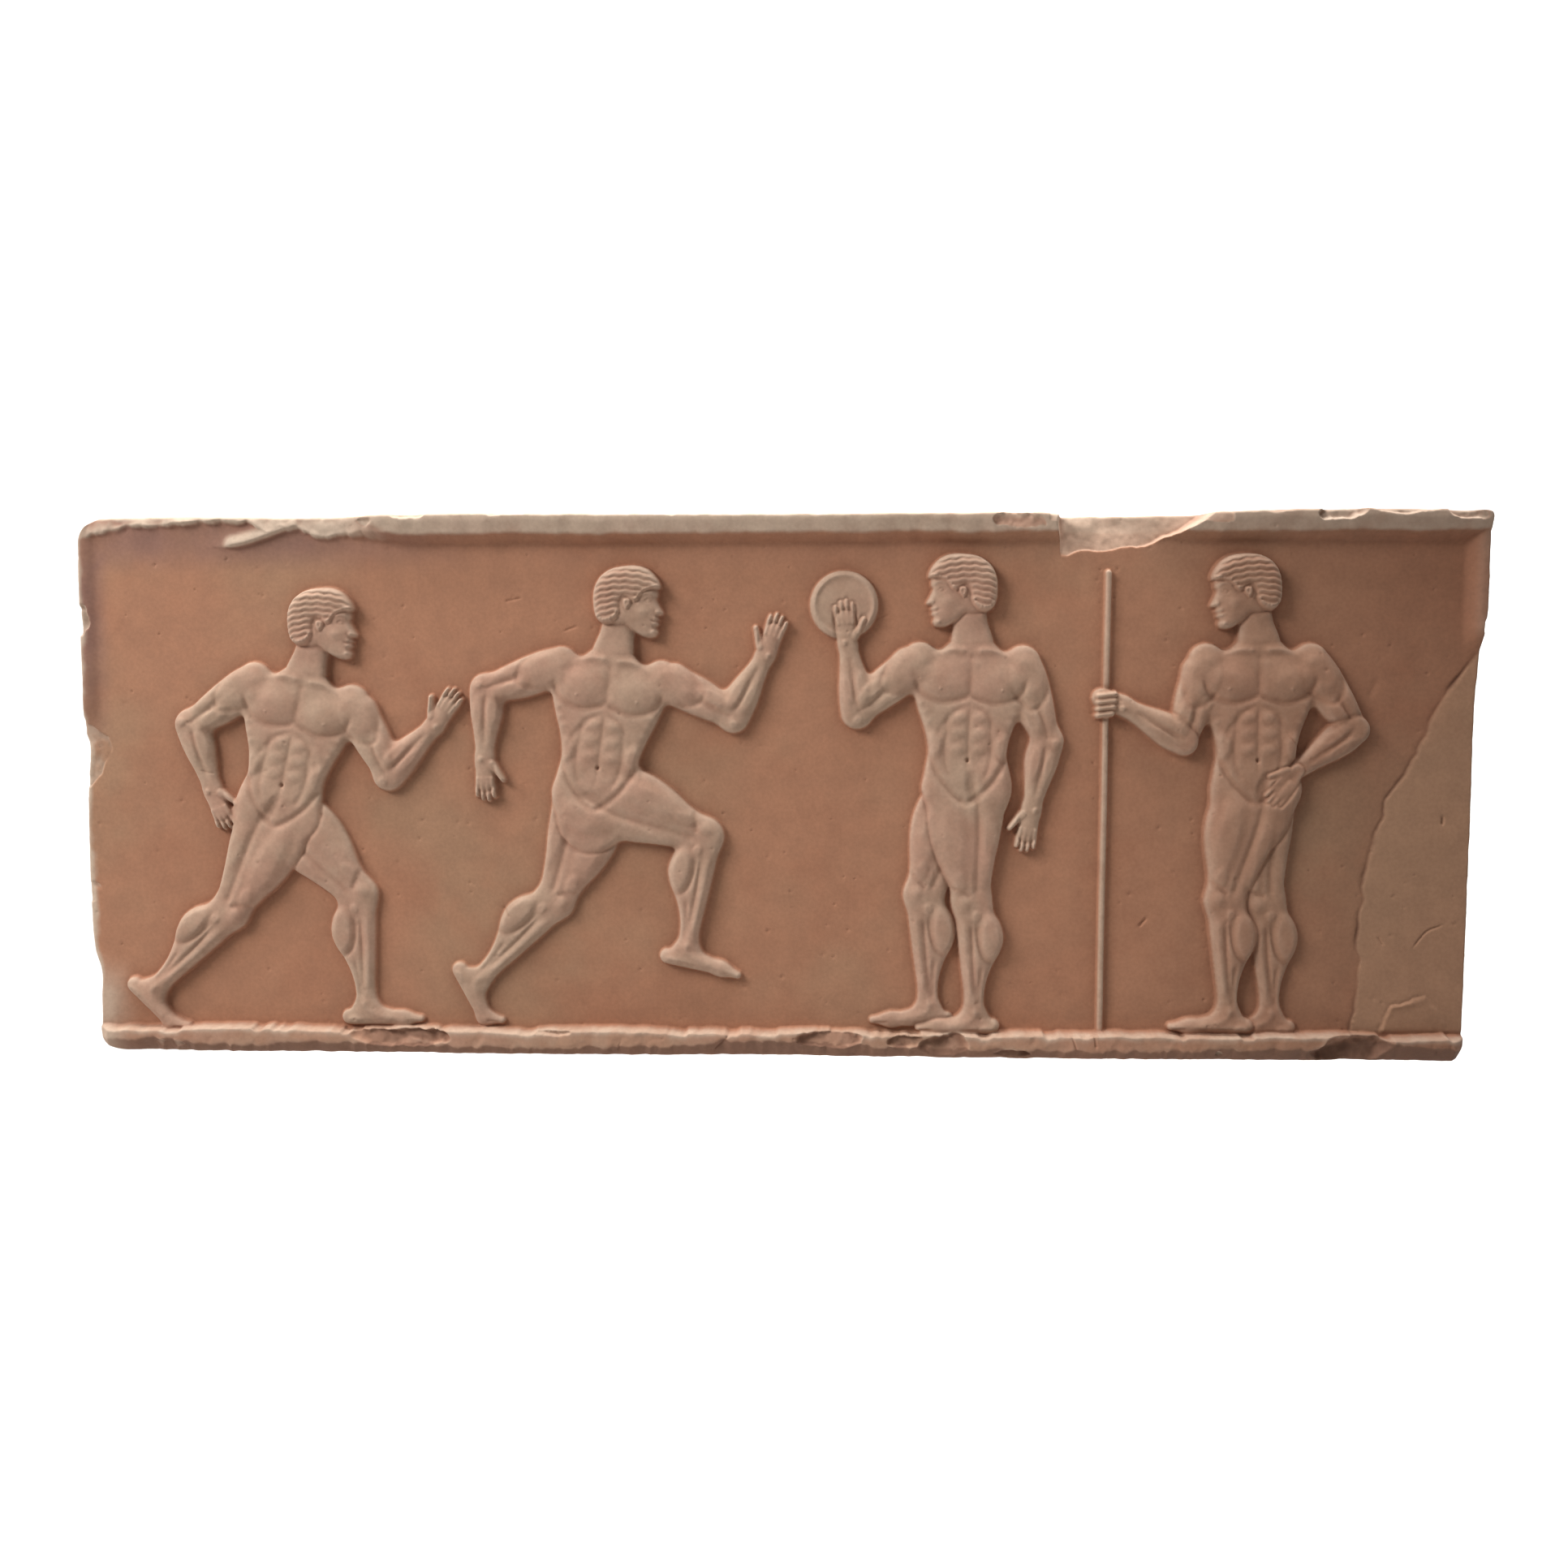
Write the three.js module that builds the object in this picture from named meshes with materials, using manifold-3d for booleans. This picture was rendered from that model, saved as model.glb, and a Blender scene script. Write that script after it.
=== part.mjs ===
// A terracotta relief panel with four athletes between a top lip and a bottom ledge.
// Millimetres. X runs along the panel, Z is up and the carved face looks towards -Y.
// The origin is the middle of the flat back, at Y = 0.
import * as THREE from 'three';
import { mergeVertices } from 'three/addons/utils/BufferGeometryUtils.js';
import Module from 'manifold-3d';

const wasm = await Module();
wasm.setup();

const { clamp, degToRad, lerp } = THREE.MathUtils;

// Driving dimensions
const WIDTH = 800;
const HEIGHT = 311;
const SLAB = 26;
const BORDER = 9;
const LIP = 9.7;
const LIP_SLOPE = 1.6;
const LEDGE = 15;
const NOSING = 10;
const NOSING_BACK = 5;
const CORNER = 8;
const WORN_CORNER = 15;
const CRACK_WIDTH = 2.9;
const CRACK_DEPTH = 2;
const CHIP_SPREAD = 2.5;
const DISCUS_RADIUS = 19.5;
const DISCUS_RIM = 3.5;
const STAFF_WIDTH = 3.6;

const HALF_W = WIDTH / 2;
const HALF_H = HEIGHT / 2;
const GROUND = LEDGE - HALF_H;
const FIGURE = 0.875 * HEIGHT;

// Raised pieces start this far inside the slab, and cuts run this far past it
const ROOT = 1.6;
const CLEAR = 3;

// How far each part stands out from the background
const DEPTH = {
  far: 5, near: 7, torso: 6.6, yoke: 6.4, arm: 6.6, backArm: 6, hand: 6.4, backHand: 5.4, neck: 5.8, head: 7,
  hairEdge: 6.6, hairGroove: 7.9, hair: 9, discus: 5.4, staff: 3.2, grip: 7.6, bentArm: 7.4, restingHand: 8.6,
};

// Wear along each edge: share of the edge's length, then how far the edge has moved in
const LEFT_WEAR = [
  [0, 4.5], [0.11, 4.8], [0.15, 4.2], [0.2, 0.9], [0.39, -0.4], [0.5, 0.4], [0.57, 1.8], [0.61, -0.4], [0.8, 0],
  [1, 0.8],
];
const RIGHT_WEAR = [
  [0, 5], [0.1, 3.7], [0.34, 3.2], [0.46, 2.9], [0.64, 3.2], [0.74, 1.5], [0.82, -0.3], [1, -0.4],
];
const TOP_WEAR = [[0, 0.3], [0.09, -0.5], [0.28, -0.7], [0.42, 0.1], [0.7, 1], [0.9, -1.4], [1, 0.2]];
const LIP_WEAR = [
  [0, 0.5], [0.03, 0.9], [0.12, 6.6], [0.15, 1], [0.17, -2.4], [0.2, 2.3], [0.22, 0], [0.66, 0.2], [0.7, 6.8],
  [0.71, 13], [0.77, 8.8], [0.792, 0], [0.87, -1.2], [1, 1.5],
];
const NOSING_WEAR = [
  [0, -2], [0.05, -2.5], [0.11, 1.5], [0.17, -0.9], [0.27, 1.3], [0.41, 0.2], [0.5, -4.8], [0.56, -1.4],
  [0.71, 0.9], [0.82, -0.9], [0.94, -5.6], [1, -4],
];

// The crack on the right runs from the edge down to the ledge, in shares of half the width and height
const CRACK = [
  [1.003, 0.514], [0.962, 0.388], [0.93, 0.242], [0.911, 0.124], [0.872, -0.039], [0.867, -0.113],
  [0.845, -0.322], [0.838, -0.532], [0.842, -0.684], [0.83, -0.907],
];

// Chips out of the lip and ledge: place in shares of half the width and height, then half length and depth
const CHIPS = [
  [0.4, 0.971, 27, 5], [-0.845, 0.971, 30, 4], [-0.507, 0.984, 14, 3], [0.915, -0.894, 20, 5],
  [-0.63, -0.939, 17, 4], [0.043, -0.926, 11, 3.5], [0.195, -0.939, 13, 3.5], [0.73, -0.939, 15, 4],
];

// Bone lengths and joint places as shares of the figure's height
const BONE = {
  thigh: 0.245, shin: 0.235, toes: 0.038, upper: 0.17, fore: 0.148, torso: 0.355, belly: 0.3, neck: 0.055,
  head: 0.15, shoulder: 0.102, shoulderDrop: 0.04, thumb: 0.04,
};
const HEEL = [-0.038, -0.034];
const BALL = [0.078, -0.034];
const TORSO_BREADTH = 0.95;

// Angles in degrees from the way the figure faces: the bones from the body outwards
const POSES = [
  {
    place: -0.356, facing: 1, hip: 0.468, spine: 77, neck: 62, head: -2, near: [-118, -134, -46, -4],
    far: [-48, -86, 0, 0], front: [-64, 46, 56], back: [214, 287, 292],
  },
  {
    place: -0.125, facing: 1, hip: 0.505, spine: 82, neck: 68, head: -2, near: [-22, -98, -12, -20],
    far: [-112, -133, -62, -8], front: [-28, 62, 70], back: [198, 268, 272],
  },
  {
    place: 0.14, facing: -1, hip: 0.522, spine: 92, neck: 80, head: -4, near: [-94, -91, 0, 0],
    far: [-70, -92, 0, 0], front: [-40, 82, 84], back: [-108, -78, -80], holds: 'discus',
  },
  {
    place: 0.344, facing: -1, hip: 0.522, spine: 90, neck: 76, head: -8, near: [-77, -92, 0, 0],
    far: [-97, -93, 0, 0], front: [-76, 30, 20], back: [-124, -36, -50], holds: 'staff',
  },
];

// Sections across a limb: share of the half width, then share of the depth, -1 being the root
const THICK = [[1, -1], [0.9, 0.6], [0.5, 0.92], [0, 1], [-0.5, 0.92], [-0.9, 0.6], [-1, -1]];
const SLIM = [[1, -1], [0.88, 0.64], [0.4, 0.97], [-0.4, 0.97], [-0.88, 0.64], [-1, -1]];
const FLAT = [
  [1, -1], [0.93, 0.64], [0.72, 0.92], [0.38, 1], [0, 1], [-0.38, 1], [-0.72, 0.92], [-0.93, 0.64], [-1, -1],
];
const NARROW = [[1, -1], [0.6, 1], [-0.6, 1], [-1, -1]];
const RIDGE = [[-0.5, 0], [0, 1], [0.5, 0]];
const GROOVE = [[0.5, 1], [0, 0], [-0.5, 1]];

// Rings of a dome from its outline inwards: scale, then share of its height
const FACE = [[1, 0], [0.95, 0.66], [0.68, 0.92]];
const PLATE = [[1, 0], [0.94, 0.7]];
const PEBBLE = [[1, 0], [0.72, 0.75]];
const DISC = [[1, 0], [0.96, 1]];

const smooth = (edge0, edge1, x) => {
  const t = clamp((x - edge0) / (edge1 - edge0), 0, 1);
  return t * t * (3 - 2 * t);
};

// Muscles that stand out: along the bone and across it, their two radii and their rise
const muscled = (muscles) => (u, v) => muscles.reduce((rise, [cu, cv, ru, rv, amount]) => {
  const away = Math.hypot((u - cu) / ru, (v - cv) / rv);
  return rise + amount * smooth(1, 0.3, away);
}, 0);

// The torso from throat to crotch: share of its length, then the rise of its middle, inner and outer muscles
const TORSO_ROWS = [
  [-0.04, 0, 0, 0], [0.05, 0, 0.3, 0.2], [0.13, -0.5, 0.5, 0.4], [0.2, -0.7, 1.3, 1], [0.27, -0.7, 1.1, 0.5],
  [0.315, -0.9, -0.8, -0.6], [0.4, -0.6, 0.7, 0.2], [0.46, -0.7, -0.4, 0], [0.54, -0.6, 0.7, 0.4],
  [0.6, -0.7, -0.4, 0.7], [0.7, -0.4, 0.5, 0.9], [0.8, 0.5, 0.4, -0.6], [0.9, 0.4, -0.3, 0], [1, 0, 0, 0],
];
const TORSO_COLUMNS = [0, 0, 3, 2, 1, 2, 3, 0, 0];
const torsoRise = (u, v, row, column) => {
  const muscle = TORSO_COLUMNS[column];
  return muscle > 0 ? TORSO_ROWS[row - 1][muscle] : 0;
};

// Half widths along each bone, as shares of the figure's height: share of the bone, then front or back
const THIGH = {
  front: [[0, 0.066], [0.2, 0.08], [0.4, 0.082], [0.6, 0.071], [0.8, 0.052], [1, 0.042]],
  back: [[0, 0.092], [0.12, 0.088], [0.45, 0.066], [0.65, 0.052], [0.85, 0.041], [1, 0.038]],
  rows: 7,
  section: THICK,
  rise: muscled([
    [0.11, 0.034, 0.12, 0.036, 0.9], [0.125, -0.044, 0.1, 0.022, 0.5], [0.247, 0.022, 0.02, 0.016, 1.2],
  ]),
};
const SHIN = {
  front: [[0, 0.042], [0.3, 0.034], [0.6, 0.027], [0.85, 0.021], [1, 0.024]],
  back: [
    [0, 0.036], [0.08, 0.042], [0.2, 0.058], [0.33, 0.064], [0.45, 0.057], [0.6, 0.038], [0.75, 0.026],
    [0.9, 0.022], [1, 0.026],
  ],
  rows: 8,
  drop: 0.3,
  rise: muscled([[0.075, -0.036, 0.064, 0.027, 1.1], [0.233, 0, 0.012, 0.012, 0.9]]),
};
const FOOT = {
  front: [[0, 0.019], [0.25, 0.034], [0.45, 0.033], [0.7, 0.021], [1, 0.014]],
  back: [[0, 0.013], [1, 0.013]],
  rows: 5,
  drop: 0.6,
};
const TOES = {
  front: [[0, 0.013], [0.5, 0.011], [1, 0.008]],
  back: [[0, 0.013], [1, 0.013]],
  rows: 3,
  drop: 0.9,
};
const UPPER_ARM = {
  front: [[0, 0.038], [0.12, 0.045], [0.5, 0.043], [0.7, 0.039], [1, 0.029]],
  back: [[0, 0.038], [0.2, 0.041], [0.45, 0.039], [0.7, 0.034], [1, 0.03]],
  rise: muscled([[0.03, 0, 0.058, 0.044, 0.9], [0.118, 0.017, 0.048, 0.021, 0.8]]),
};
const FOREARM = {
  front: [[0, 0.029], [0.15, 0.037], [0.3, 0.038], [0.5, 0.032], [0.75, 0.023], [1, 0.018]],
  back: [[0, 0.031], [0.2, 0.034], [0.4, 0.031], [0.7, 0.023], [1, 0.018]],
  drop: 0.3,
  rise: muscled([[0.048, 0.016, 0.052, 0.018, 0.7]]),
};
const TORSO_SIDE = [
  [0, 0.04], [0.05, 0.07], [0.11, 0.108], [0.17, 0.128], [0.25, 0.128], [0.38, 0.115], [0.52, 0.096],
  [0.64, 0.087], [0.76, 0.092], [0.88, 0.097], [1, 0.075],
];
const TORSO = {
  front: TORSO_SIDE,
  back: TORSO_SIDE,
  stations: TORSO_ROWS.map(([t]) => t),
  section: FLAT,
  swell: TORSO_BREADTH,
  rise: torsoRise,
};
const YOKE_SIDE = [[0, 0.04], [0.25, 0.052], [0.5, 0.06], [0.75, 0.052], [1, 0.04]];
const YOKE = { front: YOKE_SIDE, back: YOKE_SIDE, rows: 4 };
const NECK = {
  front: [[0, 0.046], [0.4, 0.036], [1, 0.036]],
  back: [[0, 0.056], [0.4, 0.04], [1, 0.038]],
  rows: 5,
};
const DIGIT_SIDE = [[0, 0.0062], [1, 0.005]];
const DIGIT = { front: DIGIT_SIDE, back: DIGIT_SIDE, rows: 3, section: NARROW };

// An open hand is one outline from the wrist round the finger tips: place across the palm, then reach
const FINGERS = [[-0.0165, 0.074], [-0.0055, 0.084], [0.0055, 0.086], [0.0165, 0.079]];
const FINGER_TIP = 0.0032;
const FINGER_NOTCH = 0.05;
const PALM_SIDE = [[-0.01, 0.017], [0.035, 0.021]];
const PALM_MIDDLE = [0.026, 0];
const THUMB_ROOT = [0.01, 0.017];
const THUMB_TURN = 32;

// A closed hand: four fingers side by side round a bar
const GRIP_FINGERS = 4;
const GRIP_TOP = 0.024;
const GRIP_PITCH = 0.0135;
const GRIP_SPAN = [0.018, 0.052];
const STAFF_FROM_WRIST = 0.037;
const STAFF_TOP = 0.79;
const DISCUS_FROM_WRIST = [0.007, 0.077];

// Head outline in head heights, face towards +X
const HEAD_OUTLINE = [
  [0.05, 0.49], [0.345, 0.34], [0.4, 0.12], [0.38, 0.065], [0.425, -0.02], [0.492, -0.112], [0.47, -0.15],
  [0.42, -0.16], [0.438, -0.205], [0.41, -0.238], [0.43, -0.285], [0.393, -0.325], [0.412, -0.39],
  [0.37, -0.455], [0.24, -0.465], [0.09, -0.4], [-0.04, -0.3], [-0.33, -0.22], [-0.42, 0.1], [-0.28, 0.4],
];
const HEAD_FROM_NECK = [0.08, 0.34];

// Eye, wing of the nose and ear: middle, two radii, corners, then the depths they run between
const FEATURES = [
  { middle: [0.275, 0.045], radii: [0.075, 0.035], corners: 6, from: 5.2, to: 7.6 },
  { middle: [0.4, -0.112], radii: [0.05, 0.035], corners: 5, from: 4, to: 6.6 },
  { middle: [-0.025, 0], radii: [0.055, 0.09], corners: 7, from: 5, to: 8.6 },
];

// The hair runs in wavy strands round a point under the chin, from the hairline to the nape.
// Each line has its distance from that point, then the angle at which it meets that edge.
const HAIR_CENTRE = [-0.03, -0.78];
const HAIR_FRONT = [
  [0.54, 110], [0.65, 99], [0.79, 97], [0.83, 80], [0.95, 76.5], [1.03, 71.8], [1.08, 66.4], [1.14, 65.8],
  [1.22, 70.7], [1.3, 78], [1.32, 86],
];
const HAIR_BACK = [
  [0.54, 113], [0.58, 123.7], [0.73, 127.2], [0.92, 121.9], [1.09, 115.9], [1.21, 108.7], [1.29, 99.4],
  [1.32, 89],
];
const STRANDS = 6;
const STRAND_STEPS = 4;
const STRAND_WAVE = 0.014;

// Straight lines between stations
function polyline(stations, t) {
  const after = stations.findIndex(([at]) => at > t);
  if (after <= 0) {
    return stations[after < 0 ? stations.length - 1 : 0][1];
  }
  const [[t0, v0], [t1, v1]] = [stations[after - 1], stations[after]];
  return lerp(v0, v1, (t - t0) / (t1 - t0));
}

// A point at an angle and length from another, for a figure that faces left or right
function reach([x, z], degrees, length, facing) {
  const a = degToRad(degrees);
  return [x + facing * length * Math.cos(a), z + length * Math.sin(a)];
}

// A turned and mirrored frame in the panel's plane
function frameAt(origin, degrees, unit, facing) {
  return ([u, v]) => reach(reach(origin, degrees, u * unit, facing), degrees + 90, v * unit, facing);
}

const onFace = ([x, z], depth) => [x, -SLAB - depth, z];

function signedVolume(geometry) {
  const p = geometry.attributes.position;
  const order = geometry.index.array;
  const [a, b, c] = [new THREE.Vector3(), new THREE.Vector3(), new THREE.Vector3()];
  let sum = 0;
  for (let i = 0; i < order.length; i += 3) {
    a.fromBufferAttribute(p, order[i]);
    b.fromBufferAttribute(p, order[i + 1]);
    c.fromBufferAttribute(p, order[i + 2]);
    sum += a.dot(b.cross(c)) / 6;
  }
  return sum;
}

// A three.js geometry as a solid, with its faces pointing out
function solid(geometry) {
  geometry.deleteAttribute('normal');
  geometry.deleteAttribute('uv');
  const merged = mergeVertices(geometry, 1e-4);
  const corners = Uint32Array.from(merged.index.array);
  if (signedVolume(merged) < 0) {
    for (let i = 0; i < corners.length; i += 3) {
      [corners[i], corners[i + 1]] = [corners[i + 1], corners[i]];
    }
  }
  const vertProperties = Float32Array.from(merged.attributes.position.array);
  return new wasm.Manifold(new wasm.Mesh({ numProp: 3, vertProperties, triVerts: corners }));
}

const join = (solids) => solids.reduce((whole, piece) => whole.add(piece));

// A ball whose rows and columns are moved to places of their own
function movedBall(columns, rows, place) {
  const ball = new THREE.SphereGeometry(1, columns, rows);
  for (let row = 0; row <= rows; row += 1) {
    for (let column = 0; column <= columns; column += 1) {
      ball.attributes.position.setXYZ(row * (columns + 1) + column, ...place(row, column % columns));
    }
  }
  return solid(ball);
}

// A limb lofted along its bone, round at both ends and rooted in the slab
function limb(from, to, facing, depth, form) {
  const { front, back, rows = 6, stations, section = SLIM, rise, swell = 1, drop = 0 } = form;
  const length = Math.hypot(to[0] - from[0], to[1] - from[1]);
  const along = [(to[0] - from[0]) / length, (to[1] - from[1]) / length];
  const across = [-along[1] * facing, along[0] * facing];
  const width = (sides, t) => polyline(sides, clamp(t, 0, 1)) * FIGURE * swell;
  const startCap = (width(front, 0) + width(back, 0)) / 2 / length;
  const endCap = (width(front, 1) + width(back, 1)) / 2 / length;
  const spaced = Array.from({ length: rows + 1 }, (unused, row) => {
    const share = (1 - Math.cos((Math.PI * row) / rows)) / 2;
    return lerp(-startCap, 1 + endCap, share);
  });
  const rings = stations ? [-startCap, ...stations, 1 + endCap] : spaced;
  return movedBall(section.length, rings.length - 1, (row, column) => {
    const t = rings[row];
    const pole = row === 0 || row === rings.length - 1;
    const over = t < 0 ? -t / startCap : Math.max(0, t - 1) / endCap;
    const narrowing = pole ? 0 : Math.sqrt(1 - over * over);
    const middle = (width(front, t) - width(back, t)) / 2;
    const [side, share] = section[column];
    const s = middle + narrowing * (side * width(side > 0 ? front : back, t) - middle);
    const rooted = share < 0 || pole;
    const extra = rise && !rooted ? rise((t * length) / FIGURE, s / FIGURE, row, column) : 0;
    const height = rooted ? -ROOT : (depth - drop) * share * (0.55 + 0.45 * narrowing) + extra;
    return onFace([0, 1].map((k) => from[k] + along[k] * t * length + across[k] * s), height);
  });
}

const meanOf = (points) => [0, 1].map((k) => points.reduce((sum, point) => sum + point[k], 0) / points.length);

// A raised shape with a given outline, domed in rings towards its middle
function dome(outline, place, depth, { base = -ROOT, rings = FACE, middle = meanOf(outline) } = {}) {
  const rows = rings.length + 1;
  return movedBall(outline.length, rows, (row, column) => {
    if (row === 0) {
      return onFace(place(middle), base);
    }
    const [scale, share] = row === rows ? [0, 1] : rings[row - 1];
    const point = [0, 1].map((k) => lerp(middle[k], outline[column][k], scale));
    return onFace(place(point), lerp(base, depth, share));
  });
}

const ellipse = ([cu, cv], [ru, rv], count) => Array.from({ length: count }, (unused, k) => {
  const a = (2 * Math.PI * k) / count;
  return [cu + ru * Math.cos(a), cv + rv * Math.sin(a)];
});

// A narrow three-sided bar that follows points in the panel's plane
function bar(points, width, depth, base, section = RIDGE) {
  const rows = points.length;
  const ends = (row) => [points[Math.max(row - 1, 0)], points[Math.min(row + 1, rows - 1)]];
  return movedBall(section.length, rows + 1, (ring, column) => {
    const row = clamp(ring - 1, 0, rows - 1);
    if (ring === 0 || ring === rows + 1) {
      return onFace(points[row], (base + depth) / 2);
    }
    const [before, after] = ends(row);
    const long = Math.hypot(after[0] - before[0], after[1] - before[1]);
    const [side, share] = section[column];
    const x = points[row][0] - ((after[1] - before[1]) / long) * side * width;
    const z = points[row][1] + ((after[0] - before[0]) / long) * side * width;
    return onFace([x, z], lerp(base, depth, share));
  });
}

// One athlete, built from its joints outwards
class Athlete {
  constructor(pose) {
    Object.assign(this, pose);
    this.pelvis = [this.place * WIDTH, GROUND + this.hip * FIGURE];
    this.throat = this.step(this.pelvis, this.spine, BONE.belly);
    this.crotch = this.step(this.pelvis, this.spine + 180, BONE.torso - BONE.belly);
    this.shoulderLine = this.step(this.throat, this.spine + 180, BONE.shoulderDrop);
  }

  step(from, degrees, share) {
    return reach(from, degrees, share * FIGURE, this.facing);
  }

  frame(origin, degrees, unit = FIGURE) {
    return frameAt(origin, degrees, unit, this.facing);
  }

  limb(from, to, depth, form) {
    return limb(from, to, this.facing, depth, form);
  }

  shoulder(side) {
    return this.step(this.shoulderLine, this.spine - 90 * side, BONE.shoulder);
  }

  leg([thigh, shin, foot, toe], depth) {
    const knee = this.step(this.pelvis, thigh, BONE.thigh);
    const ankle = this.step(knee, shin, BONE.shin);
    const placed = this.frame(ankle, foot);
    const ball = placed(BALL);
    return [
      this.limb(this.pelvis, knee, depth, THIGH),
      this.limb(knee, ankle, depth, SHIN),
      this.limb(placed(HEEL), ball, depth, FOOT),
      this.limb(ball, this.step(ball, toe, BONE.toes), depth, TOES),
    ];
  }

  // Upper arm and forearm, with the wrist for the hand to start from
  arm([upper, fore], side, depth) {
    const shoulder = this.shoulder(side);
    const elbow = this.step(shoulder, upper, BONE.upper);
    const wrist = this.step(elbow, fore, BONE.fore);
    return [wrist, [this.limb(shoulder, elbow, depth, UPPER_ARM), this.limb(elbow, wrist, depth, FOREARM)]];
  }

  openHand(wrist, turn, depth, base) {
    const placed = this.frame(wrist, turn);
    const tips = FINGERS.flatMap(([across, tip], k) => {
      const ends = [[tip, across - FINGER_TIP], [tip, across + FINGER_TIP]];
      return k < FINGERS.length - 1 ? [...ends, [FINGER_NOTCH, (across + FINGERS[k + 1][0]) / 2]] : ends;
    });
    const near = PALM_SIDE.map(([u, v]) => [u, -v]);
    const outline = [...near, ...tips, ...[...PALM_SIDE].reverse()];
    const thumb = placed(THUMB_ROOT);
    return [
      dome(outline, placed, depth, { base, rings: PLATE, middle: PALM_MIDDLE }),
      this.limb(thumb, this.step(thumb, turn + THUMB_TURN, BONE.thumb), depth, { ...DIGIT, swell: 1.3 }),
    ];
  }

  closedHand(wrist) {
    const placed = this.frame(wrist, 0);
    return Array.from({ length: GRIP_FINGERS }, (unused, k) => {
      const across = GRIP_TOP - GRIP_PITCH * k;
      const [root, tip] = GRIP_SPAN.map((along) => placed([along, across]));
      return this.limb(root, tip, DEPTH.grip, { ...DIGIT, swell: 1.15 });
    });
  }

  torso() {
    return [
      this.limb(this.throat, this.crotch, DEPTH.torso, TORSO),
      this.limb(this.shoulder(-1), this.shoulder(1), DEPTH.yoke, YOKE),
    ];
  }

  headAndNeck() {
    const size = BONE.head * FIGURE;
    const top = this.step(this.throat, this.neck, BONE.neck);
    const centre = this.frame(top, this.head, size)(HEAD_FROM_NECK);
    const placed = this.frame(centre, this.head, size);
    const nape = this.step(this.throat, this.neck + 180, BONE.neck / 2);
    const features = FEATURES.map(({ middle, radii, corners, from, to }) => (
      dome(ellipse(middle, radii, corners), placed, to, { base: from, rings: PEBBLE })
    ));
    return [
      this.limb(nape, placed([-0.1, -0.1]), DEPTH.neck, NECK),
      dome(HEAD_OUTLINE, placed, DEPTH.head),
      ...features,
      this.hair(placed),
    ];
  }

  // Hair in wavy strands, each a ridge between two grooves
  hair(placed) {
    const lines = 2 * STRANDS;
    const block = new THREE.BoxGeometry(1, 1, 1, STRAND_STEPS, lines, 1);
    const position = block.attributes.position;
    const [inner, outer] = [HAIR_FRONT[0][0], HAIR_FRONT[HAIR_FRONT.length - 1][0]];
    for (let i = 0; i < position.count; i += 1) {
      const stride = Math.round((position.getX(i) + 0.5) * STRAND_STEPS);
      const line = Math.round((position.getY(i) + 0.5) * lines);
      const radius = lerp(inner, outer, line / lines);
      const degrees = lerp(polyline(HAIR_FRONT, radius), polyline(HAIR_BACK, radius), stride / STRAND_STEPS);
      const edge = line % lines === 0 || stride % STRAND_STEPS === 0;
      const wave = edge ? 0 : STRAND_WAVE * (stride % 2 ? 1 : -1);
      const depth = line % 2 ? DEPTH.hair : DEPTH.hairGroove;
      const outside = edge ? DEPTH.hairEdge : depth;
      const point = placed(reach(HAIR_CENTRE, degrees, radius + wave, 1));
      position.setXYZ(i, ...onFace(point, position.getZ(i) > 0 ? outside : -ROOT));
    }
    return solid(block);
  }

  discus(wrist) {
    const centre = this.frame(wrist, 0)(DISCUS_FROM_WRIST);
    const round = (radius) => ellipse(centre, [radius, radius], 18);
    const plate = dome(round(DISCUS_RADIUS), (point) => point, DEPTH.discus, { rings: DISC });
    const hollow = { base: DEPTH.discus + CLEAR, rings: DISC };
    return plate.subtract(dome(round(DISCUS_RADIUS - DISCUS_RIM), (point) => point, DEPTH.discus - 1, hollow));
  }

  staff(wrist) {
    const [x] = this.frame(wrist, 0)([STAFF_FROM_WRIST, 0]);
    return bar([[x, GROUND - 1], [x, STAFF_TOP * HALF_H]], STAFF_WIDTH, DEPTH.staff, -ROOT);
  }

  arms() {
    const holdsStaff = this.holds === 'staff';
    const [frontWrist, frontArm] = this.arm(this.front, 1, DEPTH.arm);
    const [backWrist, backArm] = this.arm(this.back, -1, holdsStaff ? DEPTH.bentArm : DEPTH.backArm);
    const [frontTurn, backTurn] = [this.front[2], this.back[2]];
    if (holdsStaff) {
      const resting = this.openHand(backWrist, backTurn, DEPTH.restingHand, DEPTH.neck);
      return [...frontArm, ...backArm, ...this.closedHand(frontWrist), ...resting, this.staff(frontWrist)];
    }
    const frontHand = this.openHand(frontWrist, frontTurn, DEPTH.hand);
    const hands = [...frontHand, ...this.openHand(backWrist, backTurn, DEPTH.backHand)];
    const discus = this.holds === 'discus' ? [this.discus(frontWrist)] : [];
    return [...frontArm, ...backArm, ...hands, ...discus];
  }

  solid() {
    return join([
      ...this.torso(), ...this.leg(this.far, DEPTH.far), ...this.leg(this.near, DEPTH.near), ...this.arms(),
      ...this.headAndNeck(),
    ]);
  }
}

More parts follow.
